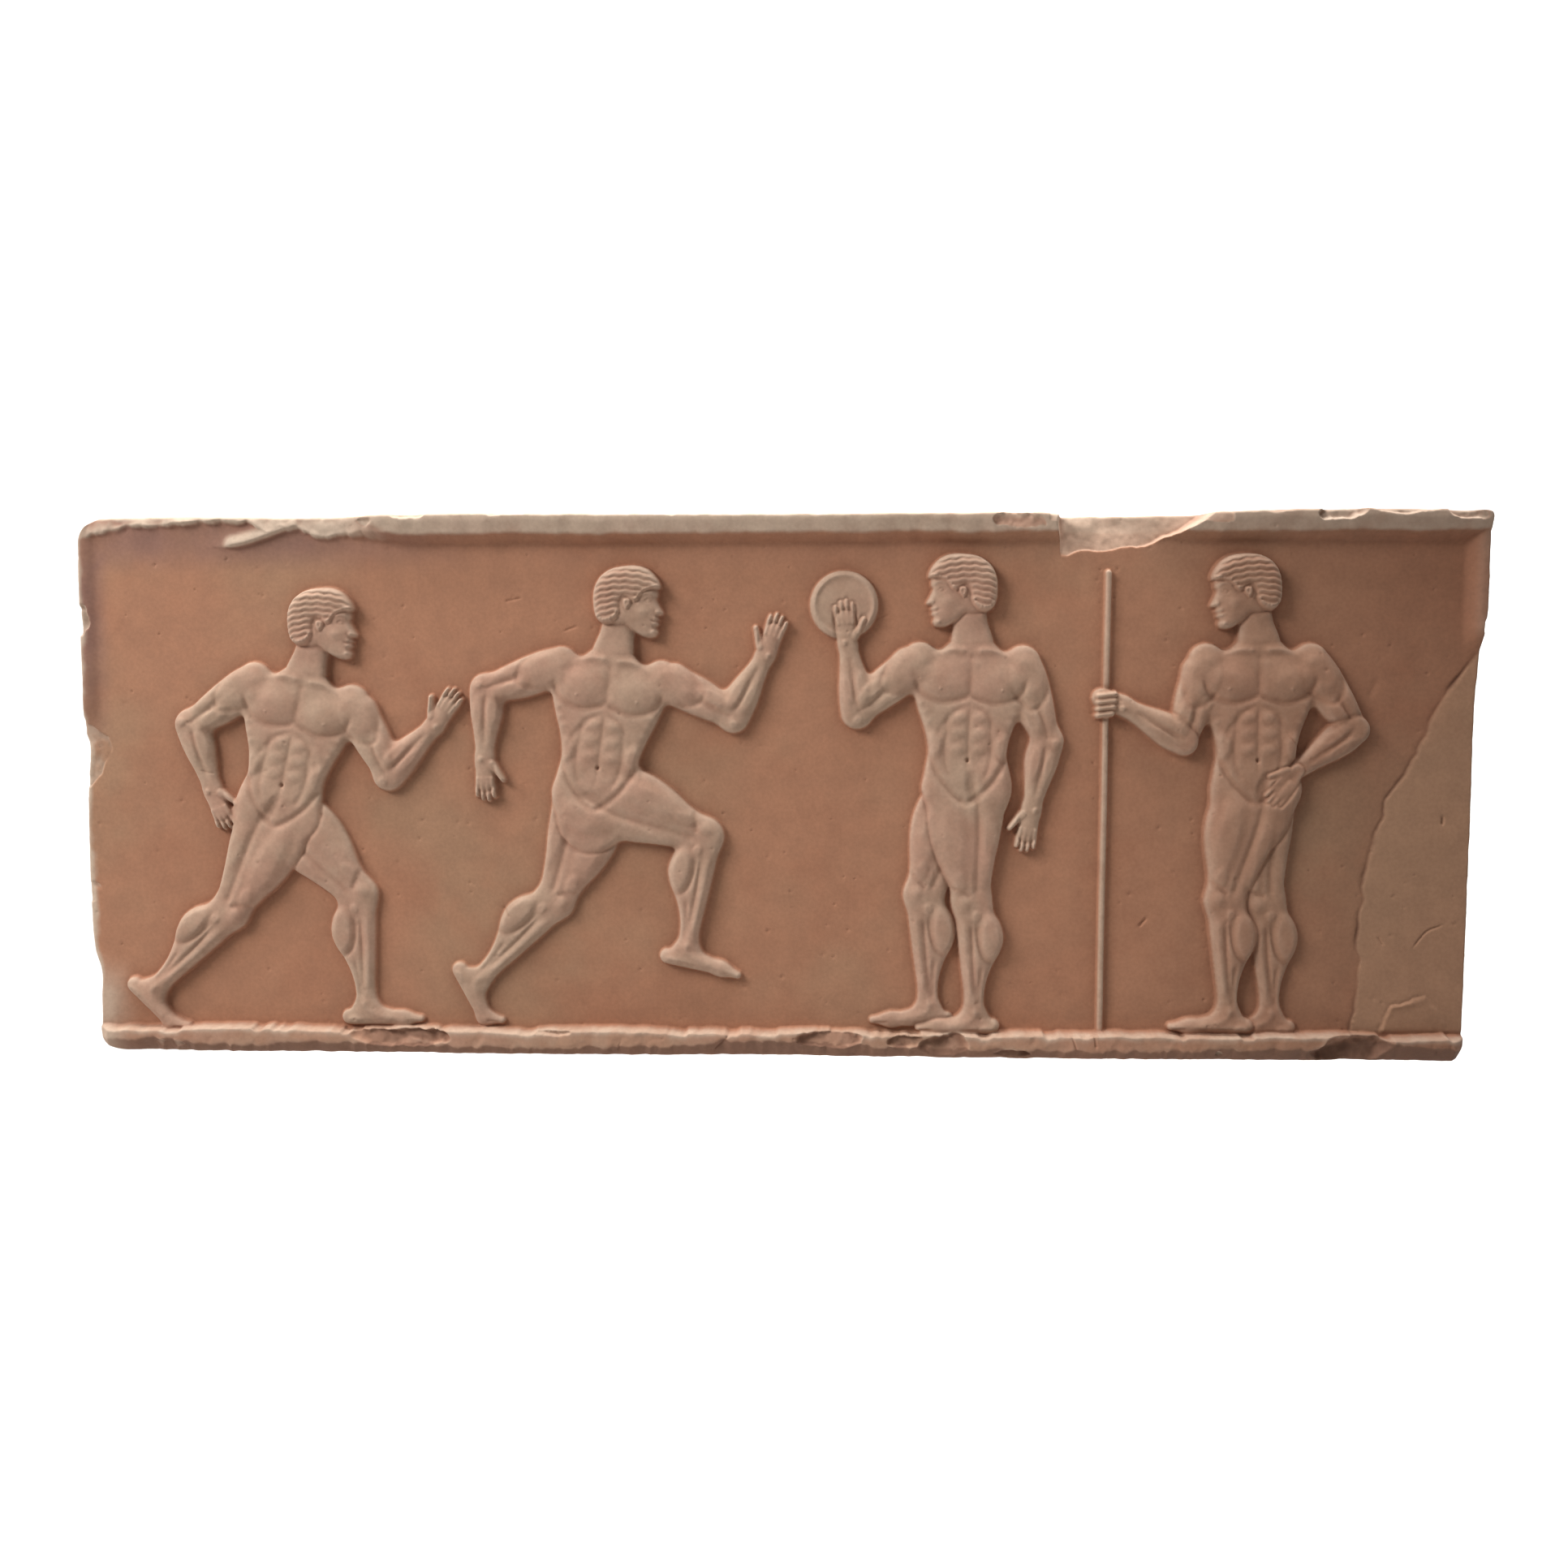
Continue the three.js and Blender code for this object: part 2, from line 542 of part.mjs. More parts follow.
// The panel's worn outline, pushed straight back through a given depth
function outlinePrism(depth) {
  const edge = (wear, sign) => wear.map(([share, inset]) => {
    const z = lerp(-HALF_H, HALF_H, share);
    return [sign * (HALF_W - inset), z];
  });
  const left = edge(LEFT_WEAR, -1).filter(([, z]) => z > WORN_CORNER - HALF_H && z < HALF_H - CORNER);
  const right = edge(RIGHT_WEAR, 1).filter(([, z]) => Math.abs(z) < HALF_H);
  const top = TOP_WEAR.map(([share, inset]) => [lerp(-HALF_W, HALF_W, share), HALF_H - inset]);
  const level = top.filter(([x]) => Math.abs(x) < HALF_W - CORNER);
  const foot = left[0][0];
  const shape = new THREE.Shape();
  shape.moveTo(foot + WORN_CORNER, -HALF_H);
  shape.quadraticCurveTo(foot + 2, -HALF_H, foot, WORN_CORNER - HALF_H);
  left.forEach(([x, z]) => shape.lineTo(x, z));
  shape.lineTo(-HALF_W, HALF_H - CORNER);
  shape.quadraticCurveTo(-HALF_W + 1, HALF_H, -HALF_W + CORNER, HALF_H);
  level.forEach(([x, z]) => shape.lineTo(x, z));
  shape.lineTo(HALF_W - 1, HALF_H);
  right.reverse().forEach(([x, z]) => shape.lineTo(x, z));
  shape.lineTo(right[right.length - 1][0] - 1, -HALF_H);
  const prism = new THREE.ExtrudeGeometry(shape, { depth, bevelEnabled: false, curveSegments: 3 });
  prism.rotateX(Math.PI / 2);
  return solid(prism);
}

// A long bar on the face, with a line that is worn along its length
function border(wear, corner) {
  const segments = wear.length - 1;
  const beam = new THREE.BoxGeometry(1, 1, 1, segments, 1, 1);
  const position = beam.attributes.position;
  for (let i = 0; i < position.count; i += 1) {
    const [share, worn] = wear[Math.round((position.getX(i) + 0.5) * segments)];
    const x = lerp(-HALF_W - CLEAR, HALF_W + CLEAR, share);
    const [z, depth] = corner(worn, position.getY(i) < 0, position.getZ(i) > 0);
    position.setXYZ(i, ...onFace([x, z], depth));
  }
  return solid(beam);
}

function lip() {
  return border(LIP_WEAR, (worn, outside, upper) => {
    const line = HALF_H - LIP - worn + (outside ? LIP_SLOPE : 0);
    return [upper ? HALF_H + CLEAR : line, outside ? BORDER : -ROOT];
  });
}

// The ledge under the figures, with its lower front edge turned back
function ledge() {
  const block = border([[0, 0], [1, 0]], (worn, outside, upper) => (
    [upper ? GROUND : -HALF_H - CLEAR, outside ? BORDER : -ROOT]
  ));
  const nosing = border(NOSING_WEAR, (worn, outside, upper) => {
    const line = GROUND - NOSING - worn;
    const slope = (line + HALF_H) / NOSING_BACK;
    const foot = -HALF_H - CLEAR * slope;
    const height = outside ? line + CLEAR * slope : foot;
    return [upper ? height : foot - CLEAR, outside ? BORDER + CLEAR : BORDER - NOSING_BACK - CLEAR];
  });
  return block.subtract(nosing);
}

function chip([x, z, halfLength, depth]) {
  const bite = new THREE.SphereGeometry(1, 6, 4);
  bite.scale(halfLength, depth, depth + CHIP_SPREAD);
  bite.translate(...onFace([x * HALF_W, z * HALF_H], BORDER));
  return solid(bite);
}

function crack() {
  const line = CRACK.map(([x, z]) => [x * HALF_W, z * HALF_H]);
  const wedge = CRACK_WIDTH * (1 + 1 / CRACK_DEPTH);
  return bar(line, wedge, 1, -CRACK_DEPTH, GROOVE);
}

function panel() {
  const slab = outlinePrism(SLAB);
  const borders = join([lip(), ledge()]).intersect(outlinePrism(SLAB + BORDER + CLEAR));
  const athletes = POSES.map((pose) => new Athlete(pose).solid());
  const whole = join([slab, borders, ...athletes]);
  return [...CHIPS.map(chip), crack()].reduce((rest, cut) => rest.subtract(cut), whole);
}

function meshOf(body) {
  const { vertProperties, triVerts } = body.getMesh();
  const geometry = new THREE.BufferGeometry();
  geometry.setAttribute('position', new THREE.BufferAttribute(vertProperties, 3));
  geometry.setIndex(new THREE.BufferAttribute(triVerts, 1));
  geometry.computeVertexNormals();
  return geometry;
}

const terracotta = new THREE.MeshStandardMaterial({ color: 0x9e725a, roughness: 0.85, metalness: 0 });
const relief = new THREE.Mesh(meshOf(panel()), terracotta);
relief.name = 'relief_panel';

const group = new THREE.Group();
group.add(relief);
export default group;
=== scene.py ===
from math import ceil, cos, hypot, pi, radians, sin

import bpy
import numpy as np
from bpy.props import FloatProperty, FloatVectorProperty, IntProperty, PointerProperty
from mathutils import Matrix, Vector


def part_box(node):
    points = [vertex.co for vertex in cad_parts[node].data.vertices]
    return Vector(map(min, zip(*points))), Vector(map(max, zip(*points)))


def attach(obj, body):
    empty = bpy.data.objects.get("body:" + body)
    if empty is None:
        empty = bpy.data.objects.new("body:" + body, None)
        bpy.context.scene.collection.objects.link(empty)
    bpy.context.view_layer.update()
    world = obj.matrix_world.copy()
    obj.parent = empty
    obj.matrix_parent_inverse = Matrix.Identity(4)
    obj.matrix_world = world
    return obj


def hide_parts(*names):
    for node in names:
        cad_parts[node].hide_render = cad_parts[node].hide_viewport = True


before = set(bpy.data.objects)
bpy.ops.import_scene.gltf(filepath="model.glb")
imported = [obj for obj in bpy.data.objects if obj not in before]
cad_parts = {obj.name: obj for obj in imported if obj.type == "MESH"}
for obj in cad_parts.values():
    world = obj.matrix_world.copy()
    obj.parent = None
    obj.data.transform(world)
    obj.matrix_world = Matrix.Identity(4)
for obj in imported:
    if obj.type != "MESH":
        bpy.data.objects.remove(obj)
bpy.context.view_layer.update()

bl_info = {
    "name": "Relief panel",
    "version": (1, 0, 0),
    "blender": (4, 5, 0),
    "location": "3D View > Sidebar > Relief",
    "description": "Carves a worn terracotta relief panel and sets a plain stage round it",
    "category": "Object",
}

NODE = "relief_panel"
BODY = "root"
MM = 0.001

# The panel's sides in millimetres, from the frame. FRONT is how far its highest relief is from the back.
LOW, HIGH = (np.array(corner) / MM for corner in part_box(NODE))
LEFT, RIGHT = LOW[0], HIGH[0]
BOTTOM, TOP = LOW[2], HIGH[2]
FRONT = HIGH[1] - LOW[1]
LENGTH, HEIGHT = RIGHT - LEFT, TOP - BOTTOM


# Curves, noise and distances

def smooth(low, high, x):
    """Rises from 0 at low to 1 at high, level at both ends."""
    t = np.clip((x - low) / (high - low), 0, 1)
    return t * t * (3 - 2 * t)


def bell(x, rise, middle, width):
    """A rounded rise about a middle."""
    return rise * np.exp(-(((x - middle) / width) ** 2))


def through(stations, t):
    """A smooth curve through (place, value) stations, level past either end."""
    places, values = np.array(stations, float).T
    last = len(places) - 1
    before = np.maximum(np.arange(last + 1) - 1, 0)
    after = np.minimum(np.arange(last + 1) + 1, last)
    slopes = (values[after] - values[before]) / (places[after] - places[before])
    t = np.clip(t, places[0], places[-1])
    k = np.clip(np.searchsorted(places, t, side="right") - 1, 0, last - 1)
    span = places[k + 1] - places[k]
    u = (t - places[k]) / span
    start = (2 * u**3 - 3 * u**2 + 1) * values[k] + (u**3 - 2 * u**2 + u) * span * slopes[k]
    end = (3 * u**2 - 2 * u**3) * values[k + 1] + (u**3 - u**2) * span * slopes[k + 1]
    return start + end


def joined(a, b, blend):
    """The lower of two distances, rounded where they meet."""
    share = np.clip(0.5 + 0.5 * (b - a) / blend, 0, 1)
    return b * (1 - share) + a * share - blend * share * (1 - share)


def bent_line(points, closed, steps=6):
    """Points on a smooth line through the given ones."""
    points = np.array(points, float)
    if closed:
        around = np.vstack([points[-1], points, points[:2]])
    else:
        around = np.vstack([2 * points[0] - points[1], points, 2 * points[-1] - points[-2]])
    u = (np.arange(steps) / steps)[:, None]
    spans = []
    for a, b, c, d in zip(around, around[1:], around[2:], around[3:]):
        cubic = (3 * b - a - 3 * c + d) * u**3
        spans.append(0.5 * (2 * b + (c - a) * u + (2 * a - 5 * b + 4 * c - d) * u**2 + cubic))
    if not closed:
        spans.append(points[-1:])
    return np.vstack(spans)


def inside_distance(x, z, outline):
    """Distance to a closed outline, below 0 inside it."""
    nearest = np.full(x.shape, np.inf)
    inside = np.zeros(x.shape, bool)
    for (ax, az), (bx, bz) in zip(outline, np.roll(outline, -1, axis=0)):
        ex, ez, px, pz = bx - ax, bz - az, x - ax, z - az
        share = np.clip((px * ex + pz * ez) / (ex * ex + ez * ez), 0, 1)
        nearest = np.minimum(nearest, np.hypot(px - share * ex, pz - share * ez))
        if az != bz:
            inside ^= ((az > z) != (bz > z)) & (px < ex * pz / ez)
    return np.where(inside, -nearest, nearest)


def line_distance(x, z, points):
    """Distance to an open line, which side of it (above 0 on the left), and the share along it."""
    nearest = np.full(x.shape, np.inf)
    side, along = np.zeros(x.shape), np.zeros(x.shape)
    for k, ((ax, az), (bx, bz)) in enumerate(zip(points, points[1:])):
        ex, ez, px, pz = bx - ax, bz - az, x - ax, z - az
        share = np.clip((px * ex + pz * ez) / (ex * ex + ez * ez), 0, 1)
        away = np.hypot(px - share * ex, pz - share * ez)
        nearer = away < nearest
        nearest = np.where(nearer, away, nearest)
        side = np.where(nearer, ex * pz - ez * px, side)
        along = np.where(nearer, (k + share) / (len(points) - 1), along)
    return nearest, side, along


NOISE_CELLS = 256


def lumps(x, z, size, seed):
    """Smooth noise from -1 to 1, its lumps about size across. Each use has its own seed, so none match."""
    table = np.random.default_rng(seed).uniform(-1, 1, (NOISE_CELLS, NOISE_CELLS))
    u, v = np.asarray(x / size, float), np.asarray(z / size, float)
    i, j = np.floor(u).astype(int), np.floor(v).astype(int)
    a, b = smooth(0, 1, u - i), smooth(0, 1, v - j)
    left, right = i % NOISE_CELLS, (i + 1) % NOISE_CELLS
    below, above = j % NOISE_CELLS, (j + 1) % NOISE_CELLS
    low = table[below, left] * (1 - a) + table[below, right] * a
    high = table[above, left] * (1 - a) + table[above, right] * a
    return low * (1 - b) + high * b


def rough(x, z, size, seed, layers=3):
    """Lumps with finer lumps on them."""
    return sum(lumps(x, z, size / 2**k, seed + k) / 2**k for k in range(layers))


def wavering(x, size, seed):
    """Roughness that changes only along the panel."""
    return rough(x, 0 * x, size, seed)


def blurred(field, radius):
    """A field softened over a radius in cells."""
    reach = int(ceil(3 * radius))
    weights = np.exp(-0.5 * (np.arange(-reach, reach + 1) / radius) ** 2)
    weights /= weights.sum()
    rows, columns = field.shape
    padded = np.pad(field, reach, mode="edge")
    tall = sum(w * padded[k : k + rows] for k, w in enumerate(weights))
    return sum(w * tall[:, k : k + columns] for k, w in enumerate(weights))


# The carver's forms

class Axes:
    """Turned axes on the panel, mirrored for a figure that faces left."""

    def __init__(self, origin, angle, unit, facing):
        self.origin, self.unit = origin, unit
        c, s = cos(radians(angle)), sin(radians(angle))
        self.along = (facing * c, s)
        self.across = (-facing * s, c)

    def local(self, x, z):
        dx, dz = x - self.origin[0], z - self.origin[1]
        u = (dx * self.along[0] + dz * self.along[1]) / self.unit
        return u, (dx * self.across[0] + dz * self.across[1]) / self.unit

    def place(self, u, v=0.0):
        x = self.origin[0] + self.unit * (u * self.along[0] + v * self.across[0])
        return x, self.origin[1] + self.unit * (u * self.along[1] + v * self.across[1])


def swelling(u0, v0, length, width, rise, turn=0.0, soft=0.6):
    """A muscle or a dent: an oval that rises by rise, soft being the share of it that slopes."""
    c, s = cos(radians(turn)), sin(radians(turn))

    def mark(u, v):
        du, dv = u - u0, v - v0
        away = np.hypot((du * c + dv * s) / length, (dv * c - du * s) / width)
        return rise * smooth(1, 1 - soft, away)

    return mark


# A groove reaches this many widths, fades over a share of its length at each end, and is least deep there
GROOVE_REACH, GROOVE_FADE, GROOVE_LEAST = 4, 0.15, 0.25


def groove(points, depth, width, right_width=None):
    """A cut along a line. A wider right side makes it a crease."""
    line = bent_line(points, False, 5)
    reach = GROOVE_REACH * max(width, right_width or 0)
    low, high = line.min(0) - reach, line.max(0) + reach

    def mark(u, v):
        cut = np.zeros(u.shape)
        near = (u > low[0]) & (u < high[0]) & (v > low[1]) & (v < high[1])
        if near.any():
            away, side, along = line_distance(u[near], v[near], line)
            wide = np.where(side > 0, width, right_width or width)
            ends = smooth(0, GROOVE_FADE, along) * smooth(1, 1 - GROOVE_FADE, along)
            share = GROOVE_LEAST + (1 - GROOVE_LEAST) * ends
            cut[near] = -depth * np.exp(-((away / wide) ** 2)) * share
        return cut

    return mark


def both_sides(make, points, *sizes):
    """The same groove on both sides of the body's middle."""
    return [make(points, *sizes), make([(u, -v) for u, v in points], *sizes)]


def paired(u, v, length, width, rise, turn=0.0, soft=0.6):
    """The same swelling on both sides of the body's middle."""
    return [swelling(u, side * v, length, width, rise, side * turn, soft) for side in (1, -1)]


# How boldly muscles are carved
CARVING = 1.3

# How far past its outline a form is worked out, in millimetres
FORM_MARGIN = 8


class Limb:
    """A form along a bone. Its half widths in front and behind are shares of the figure's height."""

    def __init__(self, start, end, form, level, unit, facing=1, size=1.0):
        self.start, self.end, self.level, self.unit, self.size = start, end, level, unit, size
        self.front, self.back = form["front"], form["back"]
        self.marks = form.get("marks", ())
        dx, dz = end[0] - start[0], end[1] - start[1]
        self.length = hypot(dx, dz)
        self.along = (dx / self.length, dz / self.length)
        self.across = (-self.along[1] * facing, self.along[0] * facing)

    def local(self, x, z):
        dx, dz = x - self.start[0], z - self.start[1]
        t = (dx * self.along[0] + dz * self.along[1]) / self.length
        return t, (dx * self.across[0] + dz * self.across[1]) / self.unit

    def distance(self, x, z):
        t, s = self.local(x, z)
        on = np.clip(t, 0, 1)
        step = 0.02
        front, back = through(self.front, on) * self.size, through(self.back, on) * self.size
        in_front = through(self.front, on + step) - through(self.front, on - step)
        behind = through(self.back, on + step) - through(self.back, on - step)
        slope = np.where(s > 0, in_front, behind) / (2 * step) * self.size * self.unit / self.length
        side = (np.abs(s) - np.where(s > 0, front, back)) * self.unit / np.sqrt(1 + slope**2)
        middle, radius = (front - back) / 2, (front + back) / 2
        end = np.hypot((s - middle) * self.unit, (t - on) * self.length) - radius * self.unit
        return np.where(t == on, side, end)

    def box(self):
        widest = max(width for _, width in (*self.front, *self.back))
        reach = widest * self.unit * self.size + FORM_MARGIN
        ends = np.array([self.start, self.end])
        return *(ends.min(0) - reach), *(ends.max(0) + reach)

    def carved(self, x, z):
        t, s = self.local(x, z)
        t = t * self.length / self.unit
        return CARVING * sum((mark(t, s) for mark in self.marks), np.zeros(x.shape))


class Shape:
    """A form with a closed outline, such as a head."""

    def __init__(self, axes, points, level, marks=()):
        self.axes, self.level, self.marks = axes, level, marks
        self.outline = np.array([axes.place(*point) for point in bent_line(points, True)])

    def distance(self, x, z):
        return inside_distance(x, z, self.outline)

    def box(self):
        return *(self.outline.min(0) - FORM_MARGIN), *(self.outline.max(0) + FORM_MARGIN)

    def carved(self, x, z):
        u, v = self.axes.local(x, z)
        return sum((mark(u, v) for mark in self.marks), np.zeros(x.shape))


# How forms are laid on what is there: rise of the edge, widths of its two roundings, and the cut round it
BODY_EDGE = {"blend": 5.0, "rise": 2.0, "rim": 4.0, "crown": 17.0, "cut": 0.9, "gap": 1.4}
THIN_EDGE = {"blend": 0.7, "rise": 2.2, "rim": 1.5, "crown": 3.0, "cut": 0.7, "gap": 0.8}
ROD_EDGE = {"blend": 0.5, "rise": 2.2, "rim": 1.2, "crown": 2.0, "cut": 0.9, "gap": 1.4}
ARM_EDGE = {"blend": 5.0, "rise": 2.0, "rim": 3.0, "crown": 17.0, "cut": 0.9, "gap": 1.4}
DISCUS_EDGE = {"blend": 1.0, "rise": 2.2, "rim": 1.5, "crown": 40.0, "cut": 0.9, "gap": 1.4}
HEAD_EDGE = {"blend": 1.0, "rise": 2.2, "rim": 3.0, "crown": 12.0, "cut": 0.9, "gap": 1.4}
HAIR_EDGE = {"blend": 1.0, "rise": 2.2, "rim": 1.5, "crown": 10.0, "cut": 0.5, "gap": 0.8}
EAR_EDGE = {"blend": 1.0, "rise": 2.2, "rim": 1.0, "crown": 3.0, "cut": 0.4, "gap": 0.7}

# How forms lie on one another, in millimetres: how deep one sits in what is under it, its least rise above
# that, how far its level reaches past its outline, how deep that has to be for a full cut round it, where its
# carving fades at its outline, and how soft the outline is
SINK, LEAST_RISE, LEVEL_REACH, FULL_CUT = 1.2, 0.8, 4, 3
CARVING_EDGE = (1, -3)
OUTLINE_EDGE = (.25, -.25)

# Shares of a form's rounding that its rim and its crown have
RIM_SHARE, CROWN_SHARE = 0.45, 0.55

# Breaks: how ragged their outline, floor and grain are, how steep their wall is and where it stands, in
# shares of their size, and the depths between which old dirt gives way to a fresh face
RAGGED_LINE, RAGGED_FLOOR, BREAK_GRAIN = .22, .7, .15
WALL_RISE, WALL = 1.4, (.55, 1.4)
OLD_FACE, FRESH_FACE = (.4, 0), (.1, 1)

# How far from a chip's middle its floor keeps leaning, and how wide the wall of a drawn break is
LEAN_REACH = 10
SPALL_WALL, SPALL_MARGIN, SPALL_SIZE = 5, 6, 14


class Face:
    """The panel's face on a grid: heights above the background, and the masks that colour it."""

    def __init__(self, step):
        self.step = step
        self.x = np.arange(LEFT - step, RIGHT + 2 * step, step)
        self.z = np.arange(BOTTOM - step, TOP + 2 * step, step)
        self.X, self.Z = np.meshgrid(self.x, self.z)
        self.height = np.zeros(self.X.shape)
        self.figure = np.zeros(self.X.shape)
        self.fresh = np.zeros(self.X.shape)

    def window(self, box):
        columns = slice(*np.searchsorted(self.x, (box[0], box[2])))
        rows = slice(*np.searchsorted(self.z, (box[1], box[3])))
        return rows, columns

    def lay(self, forms, blend, rise, rim, crown, cut, gap):
        """Lays forms as one piece over what is there, with a cut round them where they lie on another."""
        boxes = np.array([form.box() for form in forms])
        here = self.window((*boxes[:, :2].min(0), *boxes[:, 2:].max(0)))
        x, z, under = self.X[here], self.Z[here], self.height[here]
        distance, level, weight, detail = None, 0, 0, np.zeros(x.shape)
        for form in forms:
            away = form.distance(x, z)
            share = np.exp(-np.clip(away, -30, 60) / LEVEL_REACH)
            level, weight = level + share * form.level, weight + share
            detail += form.carved(x, z) * smooth(*CARVING_EDGE, away)
            distance = away if distance is None else joined(distance, away, blend)
        level = level / weight
        base = np.maximum(rise, under - SINK)
        inner, outer = np.clip(-distance / crown, 0, 1), np.clip(-distance / rim, 0, 1)
        rounding = RIM_SHARE * np.sqrt(1 - (1 - outer) ** 2) + CROWN_SHARE * np.sqrt(1 - (1 - inner) ** 2)
        top = base + np.maximum(level - base, LEAST_RISE) * rounding + detail
        trench = cut * np.exp(-((np.clip(distance, 0, None) / gap) ** 2)) * np.clip(under / FULL_CUT, 0, 1)
        inside = smooth(*OUTLINE_EDGE, distance)
        self.height[here] = (under - trench) * (1 - inside) + top * inside
        self.figure[here] = np.maximum(self.figure[here], inside)

    def break_off(self, here, away, floor, size, seed, fresh):
        """Breaks a piece off down to a rough floor that ends in a ragged line where away nears 1."""
        x, z = self.X[here], self.Z[here]
        away = away + RAGGED_LINE * rough(x, z, .6 * size + 5, seed)
        floor = floor + RAGGED_FLOOR * rough(x, z, .4 * size + 5, seed + 5)
        floor = floor + BREAK_GRAIN * lumps(x, z, 3, seed + 8)
        depth = self.height[here] - floor - WALL_RISE * BORDER_RISE * smooth(*WALL, away)
        self.height[here] -= np.maximum(depth, 0)
        kept = self.fresh[here] * smooth(*OLD_FACE, depth)
        self.fresh[here] = np.maximum(kept, fresh * smooth(*FRESH_FACE, depth))

    def chip(self, x, z, length, width, floor, lean, turn, seed, fresh):
        """An oval break. Its floor falls by lean for each millimetre upwards."""
        reach = 1.7 * max(length, width)
        here = self.window((x - reach, z - reach, x + reach, z + reach))
        u, v = Axes((x, z), turn, 1, 1).local(self.X[here], self.Z[here])
        floor = floor - lean * np.clip(self.Z[here] - z, -LEAN_REACH, LEAN_REACH)
        self.break_off(here, np.hypot(u / length, v / width), floor, min(length, width), seed, fresh)

    def spall(self, points, floor, lean, seed, fresh):
        """A break with a drawn outline. Its floor is given at the outline's lowest point."""
        outline = np.array(points, float)
        low, high = outline.min(0), outline.max(0)
        here = self.window((*(low - SPALL_MARGIN), *(high + SPALL_MARGIN)))
        x, z = self.X[here], self.Z[here]
        away = 1 + inside_distance(x, z, outline) / SPALL_WALL
        self.break_off(here, away, floor - lean * (z - low[1]), SPALL_SIZE, seed, fresh)

    def scratch(self, points, depth, width):
        """Cuts a line into the surface."""
        line = bent_line(points, False, 4)
        reach = GROOVE_REACH * width
        here = self.window((*(line.min(0) - reach), *(line.max(0) + reach)))
        self.height[here] += groove(points, depth, width)(self.X[here], self.Z[here])


# The athletes: lengths are shares of a figure's height

THIGH = {
    "front": [(0, .066), (.2, .080), (.4, .082), (.6, .071), (.8, .052), (.93, .044), (1, .042)],
    "back": [(0, .092), (.12, .088), (.25, .077), (.45, .066), (.65, .052), (.85, .041), (1, .038)],
    "marks": [
        swelling(.11, .034, .12, .036, .9),
        swelling(.125, -.044, .1, .022, .5),
        groove([(0, -.02), (.06, -.022), (.12, -.018), (.2, -.010), (.235, -.008)], .7, .007),
        swelling(.2, .026, .032, .018, .5),
        swelling(.245, .020, .024, .018, .7, soft=.9),
        groove([(.21, .048), (.222, .02), (.232, .002)], .6, .006),
        swelling(-.005, -.055, .07, .045, .8),
        swelling(0, -.010, .045, .016, -.9, soft=.8),
    ],
}
SHANK = {
    "front": [(0, .042), (.1, .038), (.3, .034), (.6, .027), (.85, .021), (1, .024)],
    "back": [
        (0, .036), (.08, .042), (.2, .058), (.33, .064), (.45, .057), (.6, .038), (.75, .026), (.9, .022),
        (1, .026),
    ],
    "marks": [
        swelling(.075, -.036, .064, .027, .9, soft=.45),
        groove([(.035, -.006), (.08, -.009), (.115, -.020), (.130, -.040), (.124, -.060)], .9, .005, .011),
        groove([(.03, .020), (.12, .016), (.21, .008)], -.6, .008),
        groove([(.045, .004), (.12, .002), (.215, -.004)], .7, .005),
        groove([(.135, -.016), (.18, -.011), (.225, -.010)], .6, .005),
        swelling(.233, -.002, .014, .013, .5, soft=1),
        swelling(.028, -.006, .015, .012, .5),
    ],
}
FOOT = {
    "front": [(0, .021), (.25, .036), (.45, .035), (.7, .024), (1, .016)],
    "back": [(0, .013), (1, .013)],
    "marks": [
        groove([(.03, .03), (.06, .012), (.10, .004)], -.4, .007),
        swelling(.012, -.002, .02, .014, .5),
    ],
}
TOES = {
    "front": [(0, .015), (.5, .013), (1, .009)],
    "back": [(0, .013), (1, .008)],
    "marks": [groove([(.008, -.004), (.020, -.004), (.036, -.005)], .5, .0022)],
}
UPPER_ARM = {
    "front": [(0, .038), (.12, .045), (.3, .043), (.5, .043), (.7, .039), (.9, .030), (1, .029)],
    "back": [(0, .038), (.2, .041), (.45, .039), (.7, .034), (.9, .029), (1, .030)],
    "marks": [
        swelling(.030, 0, .058, .044, .9, soft=.5),
        groove([(.035, .050), (.07, .030), (.098, .010), (.085, -.020), (.045, -.046)], .6, .006),
        swelling(.118, .017, .048, .021, .8),
        swelling(.105, -.022, .05, .017, .5),
        groove([(.100, 0), (.14, -.003), (.172, 0)], .6, .005),
        swelling(.180, -.014, .014, .012, .6),
    ],
}
FOREARM = {
    "front": [(0, .029), (.15, .037), (.3, .038), (.5, .032), (.75, .023), (1, .018)],
    "back": [(0, .031), (.2, .034), (.4, .031), (.7, .023), (1, .018)],
    "marks": [
        swelling(.048, .016, .052, .018, .7),
        swelling(.052, -.014, .05, .014, .5),
        groove([(.008, .002), (.06, .001), (.125, 0)], .6, .005),
        swelling(.147, -.007, .009, .008, .6),
    ],
}
PALM = {"front": [(0, .017), (.6, .021), (1, .021)], "back": [(0, .017), (.6, .021), (1, .021)]}
FINGER = {"front": [(0, .0058), (.7, .0058), (1, .0046)], "back": [(0, .0058), (.7, .0058), (1, .0046)]}
THUMB = {"front": [(0, .009), (1, .006)], "back": [(0, .009), (1, .006)]}
KNUCKLE = {"front": [(0, .0072), (1, .0066)], "back": [(0, .0072), (1, .0066)]}
NECK = {"front": [(0, .046), (.4, .036), (1, .036)], "back": [(0, .056), (.4, .040), (1, .038)]}
TORSO_SIDE = [
    (0, .040), (.05, .070), (.11, .108), (.17, .128), (.25, .128), (.38, .115), (.52, .096), (.64, .087),
    (.76, .092), (.88, .097), (1, .075),
]
